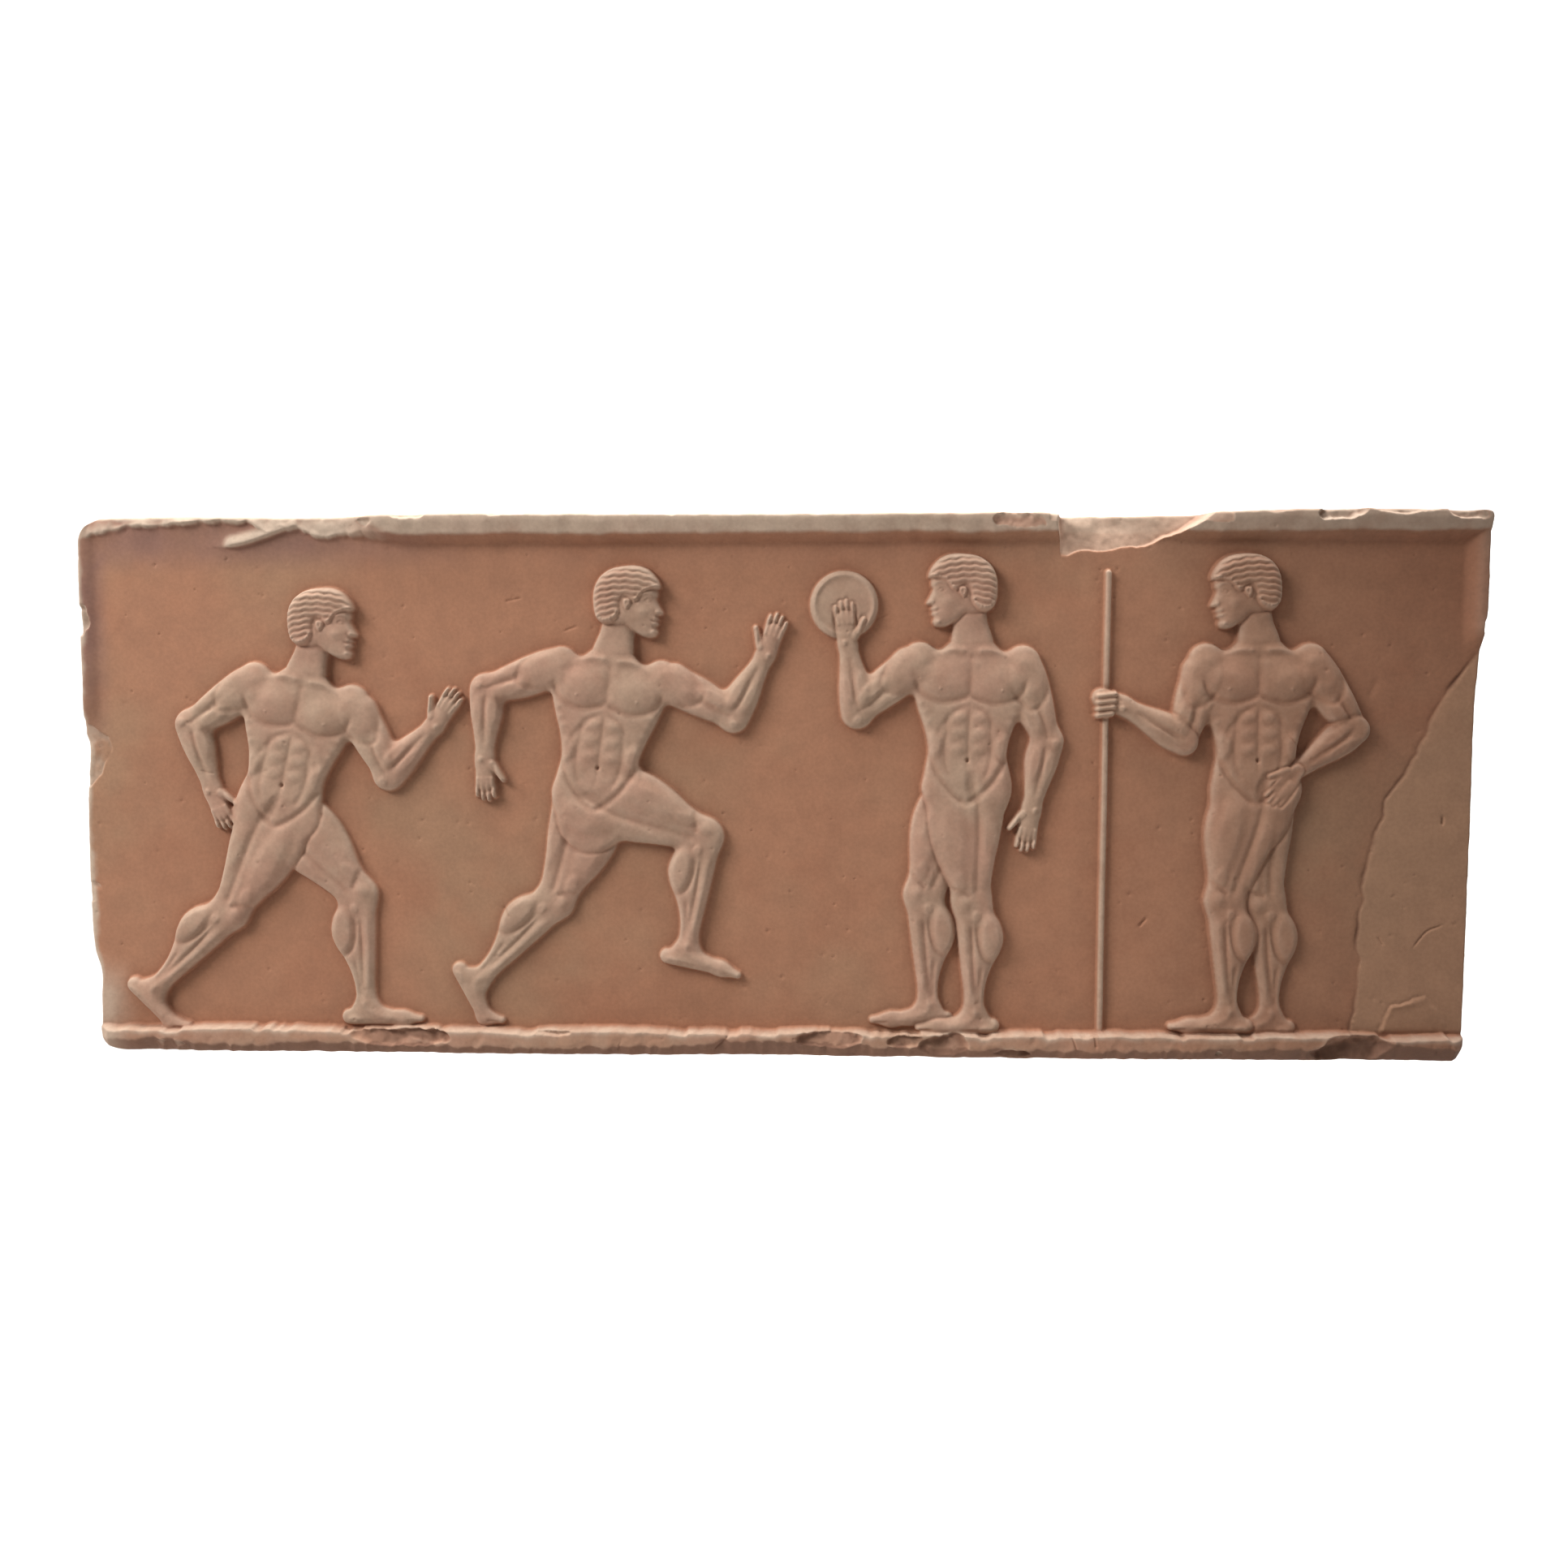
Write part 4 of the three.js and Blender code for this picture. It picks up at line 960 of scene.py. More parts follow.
def shape_borders(face, sizes):
    """Raises the top lip, the bottom ledge with its turned lower edge, and the rims at the ends."""
    X, Z = face.X, face.Z
    face.bodies = face.figure.copy()
    share = (X - LEFT) / LENGTH
    broken = smooth(LIP_WHOLE, LIP_WHOLE - LIP_EASE, share)
    lip = shape_lip(face, sizes, share, broken)
    ledge, ground, turned, right_end = shape_ledge(face, sizes, share)
    right_rim, left_rim = rising(X, Z, *RIGHT_RIM), rising(X, Z, *LEFT_RIM)
    foot_rise, foot_along, foot_up = FOOT_BLOCK
    foot_x, foot_z = X + 2 * lumps(X, Z, 12, 31), Z + 3 * lumps(X, Z, 9, 32)
    foot_block = rising(foot_x, foot_z, 1, foot_along, foot_up)
    borders = np.maximum.reduce([lip, ledge, right_rim, left_rim, foot_rise * foot_block])
    face.height = -joined(-face.height, -borders, BORDER_BLEND)

    # What the masks say of the borders: raised clay, rubbed and broken places, a painted highlight along the
    # ledge's upper edge, and painted shade on the turned lower edge and the bevelled right end
    patchy = .7 + .3 * smooth(-.4, .3, rough(X, Z, 9, 19))
    rims = smooth(2.5, 6, np.maximum(right_rim, left_rim))
    lip_face, lip_break = smooth(5.6, 7.2, lip), broken * smooth(.5, 2.5, lip)
    ledge_face = .7 * patchy * smooth(.5, 2.5, ledge)
    # Painted highlight: pale colour along the ledge's upper edge, where the light catches it
    ledge_crest_highlight = .5 * patchy * smooth(.3, 2, ledge) * smooth(4, 1, ground - Z)
    face.figure = np.maximum.reduce([face.figure, lip_face, ledge_face, rims, lip_break])
    # Pale places: the foot block, the broken lip, the lip's face, and the painted highlight on the ledge's
    # upper edge
    rubbed = [.75 * foot_block, .95 * lip_break, .75 * lip_face, ledge_crest_highlight]
    face.fresh = np.maximum.reduce([face.fresh, *rubbed])
    # Painted shade: the ledge's turned lower edge, which faces down, and its bevelled right end are darkened
    # in colour
    face.shade = (ledge > 0) * np.maximum(smooth(.1, .7, turned), .7 * smooth(.7, .2, right_end))


def cut_crack(face, sizes):
    """Opens the crack, shapes the small scar, and marks the smoother end of the panel beyond the crack."""
    X, Z = face.X, face.Z
    line = bent_line(centred(CRACK), False, 5)
    line[1:-1, 0] += CRACK_RAGGED * rough(line[1:-1, 0], line[1:-1, 1], 8, 41)
    away, side, along = line_distance(X, Z, line)
    above_ledge = smooth(0, 3, Z - BOTTOM - sizes.ledge / MM)
    width = sizes.crack / MM * (.5 - .2 * along) * (.8 + .35 * lumps(X, Z, 6, 42))
    depth = sizes.crack_depth / MM * (1.0 - .4 * along) * (.45 + .5 * lumps(X, Z, 16, 43))
    beyond = smooth(-.6, .6, np.sign(side) * away) * (X > line[:, 0].min() - 5) * smooth(*CEMENT_TOP, Z)
    face.height += (CEMENT_RISE * beyond - depth * np.exp(-((away / width) ** 2))) * above_ledge
    face.cement = beyond * above_ledge
    scar = inside_distance(X, Z, np.array(centred(SCAR))) + SCAR_RAGGED * rough(X, Z, 7, 44)
    edge = (.55 + .45 * lumps(X, Z, 11, 45)) * (bell(scar, *SCAR_RIDGE) - bell(scar, *SCAR_CUT))
    face.height += (SCAR_RISE * smooth(0, -2, scar) + edge * smooth(*SCAR_END, X)) * above_ledge
    open_share = smooth(.1, .8, .5 + .5 * lumps(X, Z, 16, 43))
    face.crack = np.exp(-((away / width) ** 2)) * above_ledge * open_share


def break_edges(face):
    """Makes the chips and the larger breaks, and marks those on the ledge that are stained."""
    whole = face.height.copy()
    for k, (*place, fresh) in enumerate(CHIPS):
        face.chip(*place, 100 + 9 * k, fresh)
    for k, (points, floor, lean, fresh) in enumerate(SPALLS):
        face.spall(points, floor, lean, 500 + 9 * k, fresh)
    # Old breaks on the ledge are stained, in the mask that also holds the painted shade
    stained = smooth(1, 4, whole - face.height) * smooth(.5, .2, face.fresh) * smooth(-110, -125, face.Z)
    face.shade = np.maximum(face.shade * (1 - face.fresh), STAIN * stained)


def weather(face, seed):
    """Uneven ground, softened carving, breaks, scratches and pits."""
    X, Z = face.X, face.Z
    face.height = blurred(face.height, WORN_SOFT / face.step)
    uneven = UNEVEN * rough(X, Z, 46, 51) + UNEVEN_MIDDLE * lumps(X, Z, 9, 54)
    face.height += uneven + UNEVEN_SHORT * lumps(X, Z, 3.4, 55)
    face.height += UNEVEN_BODIES * face.bodies * rough(X, Z, 13, 57)
    break_edges(face)
    for points, depth, width in SCRATCHES:
        face.scratch(points, depth, width)
    chance = np.random.default_rng(seed)
    for _ in range(PITS):
        x, z = chance.uniform(LEFT, RIGHT), chance.uniform(BOTTOM, TOP)
        radius, depth = chance.uniform(*PIT_RADIUS), chance.uniform(*PIT_DEPTH)
        here = face.window((x - 3 * radius, z - 3 * radius, x + 3 * radius, z + 3 * radius))
        away = np.hypot(face.X[here] - x, face.Z[here] - z) / radius
        face.height[here] -= depth * np.exp(-(away**2))
    face.height = np.minimum(face.height, BORDER_RISE)


# Dirt and painted shade in hollows: how far round a place a hollow is told, near and wide, the depths that
# count in full, and each share
NEAR, NEAR_FULL, NEAR_SHARE = 1.6, 1.1, .6
WIDE, WIDE_FULL, WIDE_SHARE = 5.0, 3.5, .4
# How far the dirt and painted shade round the figures reaches, and how strongly
HALO_REACH, HALO_GAIN = 4.5, 1.7


def mark_dirt_and_shade(face):
    """Works out where dirt and painted shade go: in hollows, and as a dark line round the figures."""
    near = blurred(face.height, NEAR / face.step) - face.height
    wide = blurred(face.height, WIDE / face.step) - face.height
    face.hollow = np.clip(near / NEAR_FULL, 0, 1) * NEAR_SHARE + np.clip(wide / WIDE_FULL, 0, 1) * WIDE_SHARE
    face.worn = np.clip(-near / NEAR_FULL, 0, 1)
    # Dirt and painted shade round the figures, laid on the ground beside them
    halo = np.clip(HALO_GAIN * blurred(face.bodies, HALO_REACH / face.step), 0, 1)
    face.halo = halo * (1 - face.figure)


def carve_face(sizes):
    """The whole face in millimetres."""
    face = Face(sizes.cell / MM)
    ground = BOTTOM + sizes.ledge / MM
    for pose in ATHLETES:
        Athlete(pose, ground, sizes.figure / MM).carve(face, sizes)
    shape_borders(face, sizes)
    cut_crack(face, sizes)
    weather(face, WEATHER_SEED)
    mark_dirt_and_shade(face)
    return face


# From the carved face to a closed mesh

# What the surface is at each point, from 0 to 1: raised figures and borders, fresh breaks and pale edges with
# some painted light, dirt and painted shade in hollows and round the figures, the smoother end, the crack,
# rubbed edges, and painted shade on the turned lower edge with stained old breaks
MASKS = ("figure", "fresh", "hollow", "halo", "cement", "crack", "worn", "shade")

# Cell sizes are powers of two: the largest one, and the largest at the panel's border. A change in a mask
# counts for a share of one in height, and the tolerance is found by halving.
LARGEST_CELL = 5
EDGE_CELL = 2
MASK_WEIGHT = .1
TOLERANCE_ROUNDS = 14

# The panel is meshed in sections, cut where bare ground lies between the athletes
SECTIONS = ("relief_left_runner", "relief_right_runner", "relief_discus_bearer", "relief_umpire")
CUTS = (.258, .515, .715)
SIDE_MASKS = {"fresh": .6, "figure": .6}

# Rings round the panel's sides: share of the way from its rim to its back, and how far each is worn in
WALL_RINGS = (
    (.06, 0), (.16, .15), (.3, .05), (.46, .2), (.62, .1), (.78, .2), (.92, .1), (.985, .3), (1, .9),
)
WALL_DENTS, DENT_SIZE = .3, 14

# The pale worn edge: how wide its dense part and its outer line are, how ragged, and where it fades towards
# the lower right. Kept to the lit left and top sides, it is partly painted light.
PALE_EDGE, PALE_RAGGED, PALE_GRAIN, PALE_SHARE = (4.6, 1), 1.8, .9, .9
PALE_END = (300, -300)
RIM_UNEVEN = .35


def sheet_grid(step):
    """Places on the panel of a grid bent at its borders to the worn outline, and the distance to them."""
    largest = 2**LARGEST_CELL
    columns = largest * round(LENGTH / step / largest)
    rows = largest * round(HEIGHT / step / largest)
    s, t = np.meshgrid(np.linspace(0, 1, columns + 1), np.linspace(0, 1, rows + 1))
    x, z = LEFT + s * LENGTH, BOTTOM + t * HEIGHT
    gaps = {"left": s * LENGTH, "right": (1 - s) * LENGTH, "bottom": t * HEIGHT, "top": (1 - t) * HEIGHT}
    chips = {
        side: EDGE_RAGGED * np.abs(wavering(along, 18, seed))
        for side, along, seed in (("left", z, 61), ("right", z, 62), ("bottom", x, 63), ("top", x, 64))
    }
    ease = {side: 1 - smooth(0, EDGE_REACH, gap) for side, gap in gaps.items()}
    dx = (through(LEFT_EDGE, t) + chips["left"]) * ease["left"]
    dx = dx - (through(RIGHT_EDGE, t) + chips["right"]) * ease["right"]
    dz = (through(BOTTOM_EDGE, s) + chips["bottom"]) * ease["bottom"]
    dz = dz - (through(TOP_EDGE, s) + chips["top"]) * ease["top"]
    for name, radius in CORNER_RADII.items():
        side, end = name.split()
        ax, az = gaps[side], gaps[end]
        along_x, inset_z = rounded(ax, radius)
        along_z, inset_x = rounded(az, radius)
        near_x, near_z = (1 - smooth(0, CORNER_EASE * radius, gap) for gap in (ax, az))
        corner = radius * (1 - np.sqrt(.5))
        move_x = near_z * along_x + near_x * inset_x - near_x * near_z * corner
        move_z = near_x * along_z + near_z * inset_z - near_x * near_z * corner
        dx += move_x * (1 if side == "left" else -1)
        dz += move_z * (1 if end == "bottom" else -1)
    edge = np.minimum.reduce(list(gaps.values()))
    return x + dx, z + dz, edge


def rounded(away, radius):
    """How far a point on a side moves along it and inwards, where the corner it nears is rounded."""
    reach = CORNER_REACH * radius
    path = reach - radius + radius * pi / 4
    travelled = (1 - np.clip(away / reach, 0, 1)) * path
    angle = np.clip((travelled - reach + radius) / radius, 0, pi / 4)
    place = np.where(angle > 0, radius - radius * np.sin(angle), reach - travelled)
    moved = np.where(away < reach, place - away, 0)
    return moved, radius - radius * np.cos(angle)


def sampled(face, field, x, z):
    """A field of the face at the given places."""
    u = np.clip((x - face.x[0]) / face.step, 0, len(face.x) - 1.001)
    v = np.clip((z - face.z[0]) / face.step, 0, len(face.z) - 1.001)
    i, j = u.astype(int), v.astype(int)
    a, b = u - i, v - j
    low = field[j, i] * (1 - a) + field[j, i + 1] * a
    high = field[j + 1, i] * (1 - a) + field[j + 1, i + 1] * a
    return low * (1 - b) + high * b


def cell_errors(fields):
    """For cells of each size, how far a field departs from the flat patch between the cell's corners."""
    errors = []
    for level in range(LARGEST_CELL + 1):
        size = 2**level
        rows, columns = ((n - 1) // size for n in fields[0].shape)
        worst = np.zeros((rows, columns))
        for field in fields:
            corners = field[::size, ::size]
            for j in range(size + 1):
                low = corners[:-1] + (corners[1:] - corners[:-1]) * (j / size)
                for i in range(size + 1):
                    flat = low[:, :-1] + (low[:, 1:] - low[:, :-1]) * (i / size)
                    there = field[j::size, i::size][:rows, :columns]
                    np.maximum(worst, np.abs(there - flat), out=worst)
        errors.append(worst)
    for level in range(EDGE_CELL + 1, LARGEST_CELL + 1):
        for side in (np.s_[0], np.s_[-1], np.s_[:, 0], np.s_[:, -1]):
            errors[level][side] = np.inf
    return errors


def halved(flags):
    """One flag for each two by two cells, up if any of them is."""
    return flags[::2, ::2] | flags[1::2, ::2] | flags[::2, 1::2] | flags[1::2, 1::2]


def doubled(flags):
    """Two by two cells for each flag."""
    return flags.repeat(2, 0).repeat(2, 1)


def spread(flags):
    """Flags with their neighbours on all sides."""
    wide = np.pad(flags, 1)
    tall = wide[:-2] | wide[1:-1] | wide[2:]
    return tall[:, :-2] | tall[:, 1:-1] | tall[:, 2:]


def split_cells(errors, tolerance):
    """Which cells of each size are split so that neighbours differ by one size at most, and which exist."""
    split = [error > tolerance for error in errors]
    split[0][:] = False
    for level in range(1, LARGEST_CELL + 1):
        split[level] |= halved(split[level - 1])
        if level > 1:
            split[level] |= halved(spread(split[level - 1]))
    exists = [None] * (LARGEST_CELL + 1)
    exists[-1] = np.ones(split[-1].shape, bool)
    for level in range(LARGEST_CELL, 0, -1):
        exists[level - 1] = doubled(split[level])
    return split, exists


def neighbours_split(split):
    """For each cell, whether the one below, right, above and left of it is split."""
    wide = np.pad(split, 1)
    return wide[:-2, 1:-1], wide[1:-1, 2:], wide[2:, 1:-1], wide[1:-1, :-2]


def leaves_at(level, split, exists, columns):
    """The cells of a size that aren't split further, between two columns of the grid."""
    leaves = exists[level] & ~split[level]
    first, last = (column // 2**level for column in columns)
    leaves[:, :first] = False
    leaves[:, last:] = False
    return leaves


def count_triangles(split, exists, columns):
    """How many triangles a section's front has."""
    total = 0
    for level in range(LARGEST_CELL + 1):
        leaves = leaves_at(level, split, exists, columns)
        sides = sum(side[leaves].sum() for side in neighbours_split(split[level]))
        total += 2 * leaves.sum() + sides
    return total


def fit_cells(fields, sections, most):
    """The finest split of the grid into square cells that keeps each section within most triangles."""
    errors = cell_errors(fields)
    low, high = 0.0, 1.0
    for _ in range(TOLERANCE_ROUNDS):
        middle = (low + high) / 2
        cells = split_cells(errors, middle)
        if max(count_triangles(*cells, columns) for columns in sections) > most:
            low = middle
        else:
            high = middle
    return split_cells(errors, high)


def front_triangles(split, exists, columns, places):
    """Triangles of a section's front as indices into the full grid, facing the viewer."""
    stride = places.shape[1]
    flat = places.reshape(-1, 3)
    triangles = []
    for level in range(LARGEST_CELL + 1):
        size = 2**level
        half = size // 2
        leaves = leaves_at(level, split, exists, columns)
        j, i = (index * size for index in np.nonzero(leaves))
        start = j * stride + i
        steps = ((0, 0), (half, 0), (size, 0), (size, half), (size, size), (half, size), (0, size), (0, half))
        ring = [across + up * stride for across, up in steps]
        present = np.ones((8, len(start)), bool)
        present[1::2] = [side[leaves] for side in neighbours_split(split[level])]
        plain = ~present[1::2].any(0)
        triangles.append(halved_squares([start[plain] + ring[k] for k in (0, 2, 4, 6)], flat))
        for pattern in np.unique(present[:, ~plain].T, axis=0):
            cells = start[(present.T == pattern).all(1)]
            used = np.flatnonzero(pattern)
            used = np.roll(used, -np.flatnonzero(used % 2)[0])
            for a, b in zip(used[1:], used[2:]):
                triangles.append(np.stack([cells + ring[k] for k in (used[0], a, b)], 1))
    return np.vstack(triangles)


def halved_squares(corners, flat):
    """Two triangles for each square, split along its shorter diagonal."""
    a, b, c, d = corners
    rising = np.linalg.norm(flat[a] - flat[c], axis=1) <= np.linalg.norm(flat[b] - flat[d], axis=1)
    first = np.where(rising[:, None], np.stack([a, b, c], 1), np.stack([a, b, d], 1))
    second = np.where(rising[:, None], np.stack([a, c, d], 1), np.stack([b, c, d], 1))
    return np.vstack([first, second])


def border_loop(shape, columns, used):
    """Used points round the border of a section of the grid, against the clock."""
    grid = np.arange(shape[0] * shape[1]).reshape(shape)[:, columns[0] : columns[1] + 1]
    loop = np.concatenate([grid[0, :-1], grid[:-1, -1], grid[-1, :0:-1], grid[:0:-1, 0]])
    return loop[used[loop]]


def wall_moves(rim):
    """How far the rings behind the panel's rim are worn in, one ring after another, to the flat back."""
    along = np.roll(rim, -1, axis=0) - np.roll(rim, 1, axis=0)
    outward = np.stack([along[:, 2], 0 * along[:, 0], -along[:, 0]], 1)
    outward /= np.linalg.norm(outward, axis=1)[:, None]
    path = np.cumsum(np.linalg.norm(rim - np.roll(rim, 1, axis=0), axis=1))
    moves = []
    for share, inset in WALL_RINGS:
        dents = 1 + rough(path, rim[:, 1] * (1 - share), DENT_SIZE, 71, 2)
        worn_in = inset + WALL_DENTS * dents * smooth(0, .1, share)
        moves.append(-outward * worn_in[:, None])
    return np.array(moves)


def section_moves(loop, rim, places_on_outline, outline_moves):
    """Moves of a section's rings. Across a cut they run evenly from the panel's foot to its top."""
    outer = places_on_outline[loop] >= 0
    moves = np.zeros((len(WALL_RINGS), len(loop), 3))
    moves[:, outer] = outline_moves[:, places_on_outline[loop[outer]]]
    for k in range(3):
        for ring in moves:
            for side in (rim[:, 0] < rim[:, 0].mean(), rim[:, 0] > rim[:, 0].mean()):
                known, wanted = side & outer, side & ~outer
                ends = np.argsort(rim[known, 2])
                ring[wanted, k] = np.interp(rim[wanted, 2], rim[known, 2][ends], ring[known, k][ends])
    return moves, outer


def close_section(name, triangles, places, masks, outline, outline_moves):
    """A closed mesh in metres: a section of the front, with its sides and the flat back."""
    used = np.zeros(places[..., 0].size, bool)
    used[triangles] = True
    number = np.cumsum(used) - 1
    columns = np.flatnonzero(used.reshape(places.shape[:2]).any(0))[[0, -1]]
    loop = border_loop(places.shape[:2], columns, used)
    places_on_outline = np.full(used.size, -1)
    places_on_outline[outline] = np.arange(len(outline))
    front, rim = places.reshape(-1, 3)[used], places.reshape(-1, 3)[loop]
    moves, outer = section_moves(loop, rim, places_on_outline, outline_moves)
    rings = [rim * [1, 1 - share, 1] + move for (share, _), move in zip(WALL_RINGS, moves)]
    count, previous = len(loop), number[loop]
    faces = number[triangles].tolist()
    for k in range(len(rings)):
        ring = len(front) + k * count + np.arange(count)
        faces += np.stack([np.roll(previous, -1), previous, ring, np.roll(ring, -1)], 1).tolist()
        previous = ring
    faces.append(previous[::-1].tolist())
    mesh = bpy.data.meshes.new(name)
    mesh.from_pydata((np.vstack([front, *rings]) * MM).tolist(), [], faces)
    mesh.shade_smooth()
    for mask in MASKS:
        side = np.full(count * len(rings), SIDE_MASKS.get(mask, 0))
        values = np.concatenate([masks[mask].ravel()[used], side]).astype(np.float32)
        mesh.attributes.new(mask, "FLOAT", "POINT").data.foreach_set("value", values)
    sharpen(mesh, number[loop[~outer]], previous)
    return mesh


def sharpen(mesh, *lines):
    """Marks the edges along lines of points as sharp, so that cuts and the back stay flat."""
    edges = np.empty(2 * len(mesh.edges), int)
    mesh.edges.foreach_get("vertices", edges)
    sharp = np.zeros(len(mesh.edges), bool)
    for line in lines:
        on_line = np.zeros(len(mesh.vertices), bool)
        on_line[line] = True
        sharp |= on_line[edges.reshape(-1, 2)].all(1)
    mesh.attributes.new("sharp_edge", "BOOLEAN", "EDGE").data.foreach_set("value", sharp)


def build_panel(face, sizes):
    """The panel's sections as closed meshes."""
    x, z, edge = sheet_grid(sizes.cell / MM)
    height = sampled(face, face.height, x, z)
    masks = {name: sampled(face, getattr(face, name), x, z) for name in MASKS}
    drop = np.clip(1 - edge / EDGE_ROUNDING, 0, 1)
    height = height - EDGE_ROUNDING * (1 - np.sqrt(1 - drop**2)) * (1 + RIM_UNEVEN * rough(x, z, 7, 81))
    # A pale worn rim, faded out towards the lower right where the sides lie in shade: wear, and partly
    # painted light
    ragged = edge + PALE_RAGGED * lumps(x, z, 24, 83) + PALE_GRAIN * lumps(x, z, 5, 84)
    pale = smooth(*PALE_EDGE, ragged) * smooth(*PALE_END, x - 2 * z)
    masks["fresh"] = np.maximum(masks["fresh"], PALE_SHARE * pale)
    places = np.stack([x, BORDER_RISE - FRONT - height, z], -1)
    columns, largest = x.shape[1], 2**LARGEST_CELL
    cuts = [0, *(largest * round(cut * columns / largest) for cut in CUTS), columns - 1]
    sections = list(zip(cuts, cuts[1:]))
    fields = [height, *(MASK_WEIGHT * masks[name] for name in ("fresh", "figure", "hollow"))]
    cells = fit_cells(fields, sections, sizes.triangles)
    fronts = [front_triangles(*cells, section, places) for section in sections]
    used = np.zeros(x.size, bool)
    used[np.vstack(fronts)] = True
    outline = border_loop(x.shape, (0, columns - 1), used)
    moves = wall_moves(places.reshape(-1, 3)[outline])
    return [
        close_section(name, triangles, places, masks, outline, moves)
        for name, triangles in zip(SECTIONS, fronts)
    ]


# Geometry nodes: the grain of the fired clay

def add(tree, kind, inputs=None, **settings):
    """Adds a node, sets its own properties, and links or sets its inputs by name or number."""
    node = tree.nodes.new(kind)
    for name, value in settings.items():
        setattr(node, name, value)
    for key, value in (inputs or {}).items():
        if isinstance(value, bpy.types.NodeSocket):
            tree.links.new(value, node.inputs[key])
        else:
            node.inputs[key].default_value = value
    return node


# The grain leaves alone what lies nearer the flat back than this, in millimetres
BACK_SKIN = 2
GRAIN_SEED = 7.0
GRAIN_INPUTS = (
    ("Geometry", "NodeSocketGeometry"), ("Grain Size", "NodeSocketFloat"),
    ("Grain Depth", "NodeSocketFloat"), ("Skin", "NodeSocketFloat"), ("Seed", "NodeSocketFloat"),
    ("Finish", "NodeSocketMaterial"),
)


def grain_tree():
    """Roughens every face but the flat back, and sets the material."""
    tree = bpy.data.node_groups.new("Clay grain", "GeometryNodeTree")
    for name, kind in GRAIN_INPUTS:
        tree.interface.new_socket(name, in_out="INPUT", socket_type=kind)
    tree.interface.new_socket("Geometry", in_out="OUTPUT", socket_type="NodeSocketGeometry")
    given = add(tree, "NodeGroupInput").outputs
    place = add(tree, "GeometryNodeInputPosition").outputs[0]
    normal = add(tree, "GeometryNodeInputNormal").outputs[0]
    scale = add(tree, "ShaderNodeMath", {0: 1.0, 1: given["Grain Size"]}, operation="DIVIDE").outputs[0]
    noise = add(
        tree, "ShaderNodeTexNoise", {"Vector": place, "W": given["Seed"], "Scale": scale, "Detail": 2.0},
        noise_dimensions="4D",
    ).outputs[0]
    even = add(tree, "ShaderNodeMath", {0: noise, 1: 0.5}, operation="SUBTRACT").outputs[0]
    depth = add(tree, "ShaderNodeMath", {0: even, 1: given["Grain Depth"]}, operation="MULTIPLY").outputs[0]
    offset = add(tree, "ShaderNodeVectorMath", {0: normal, "Scale": depth}, operation="SCALE").outputs[0]
    back = add(tree, "ShaderNodeSeparateXYZ", {0: place}).outputs[1]
    free = add(
        tree, "FunctionNodeCompare", {0: back, 1: given["Skin"]}, data_type="FLOAT", operation="LESS_THAN",
    ).outputs[0]
    moved = add(
        tree, "GeometryNodeSetPosition", {"Geometry": given["Geometry"], "Selection": free, "Offset": offset},
    ).outputs[0]
    painted = add(tree, "GeometryNodeSetMaterial", {"Geometry": moved, "Material": given["Finish"]})
    add(tree, "NodeGroupOutput", {0: painted.outputs[0]})
    return tree


def roughened(mesh, sizes, tree, finish):
    """The mesh with its grain, as plain geometry."""
    piece = bpy.data.objects.new(mesh.name, mesh)
    bpy.context.scene.collection.objects.link(piece)
    grain = piece.modifiers.new("Grain", "NODES")
    grain.node_group = tree
    values = {
        "Grain Size": sizes.grain, "Grain Depth": sizes.grain_depth, "Skin": -BACK_SKIN * MM,
        "Seed": GRAIN_SEED, "Finish": finish,
    }
    for socket in grain.node_group.interface.items_tree:
        if socket.in_out == "INPUT" and socket.name in values:
            grain[socket.identifier] = values[socket.name]
    result = piece.evaluated_get(bpy.context.evaluated_depsgraph_get())
    plain = bpy.data.meshes.new_from_object(result)
    piece.modifiers.remove(grain)
    piece.data = plain
    bpy.data.meshes.remove(mesh)
    plain.name = piece.name
    return piece


# The finish

def srgb(red, green, blue):
    """A colour as seen on a screen, from 0 to 255, turned into Blender's own values."""
    shares = [part / 255 for part in (red, green, blue)]
    return tuple(c / 12.92 if c <= .04045 else ((c + .055) / 1.055) ** 2.4 for c in shares)


def mixed(tree, share, below, above):
    """Lays one colour over another."""
    return add(tree, "ShaderNodeMix", {0: share, 6: below, 7: above}, data_type="RGBA").outputs[2]


def scaled(tree, value, factor):
    """A value times a factor, kept from 0 to 1."""
    node = add(tree, "ShaderNodeMath", {0: value, 1: factor}, operation="MULTIPLY", use_clamp=True)
    return node.outputs[0]


def summed(tree, first, second):
    """Two values together, kept from 0 to 1."""
    return add(tree, "ShaderNodeMath", {0: first, 1: second}, operation="ADD", use_clamp=True).outputs[0]


def ramp(tree, value, low, high, to_low=0.0, to_high=1.0):
    """Turns a range of values into another, clamped."""
    return add(
        tree, "ShaderNodeMapRange", {"Value": value, 1: low, 2: high, 3: to_low, 4: to_high},
        interpolation_type="SMOOTHSTEP",
    ).outputs[0]


def times(tree, value, factor):
    """A value times a factor, not clamped."""
    return add(tree, "ShaderNodeMath", {0: value, 1: factor}, operation="MULTIPLY").outputs[0]


def cloud(tree, place, size, detail, seed):
    """Noise in lumps of a size in metres."""
    inputs = {"Vector": place, "Scale": 1 / size, "Detail": detail, "Roughness": 0.55, "W": seed}
    return add(tree, "ShaderNodeTexNoise", inputs, noise_dimensions="4D").outputs[0]


def rgba(colour):
    """A colour with nothing seen through it."""
    return (*colour, 1.0)


# Noise in the clay: its size in metres, detail and seed
BROAD, PATCH = (.16, 3.0, 1.0), (.05, 4.0, 5.0)
SPECK, MOTTLE = (.0022, 3.0, 9.0), (.012, 4.0, 13.0)

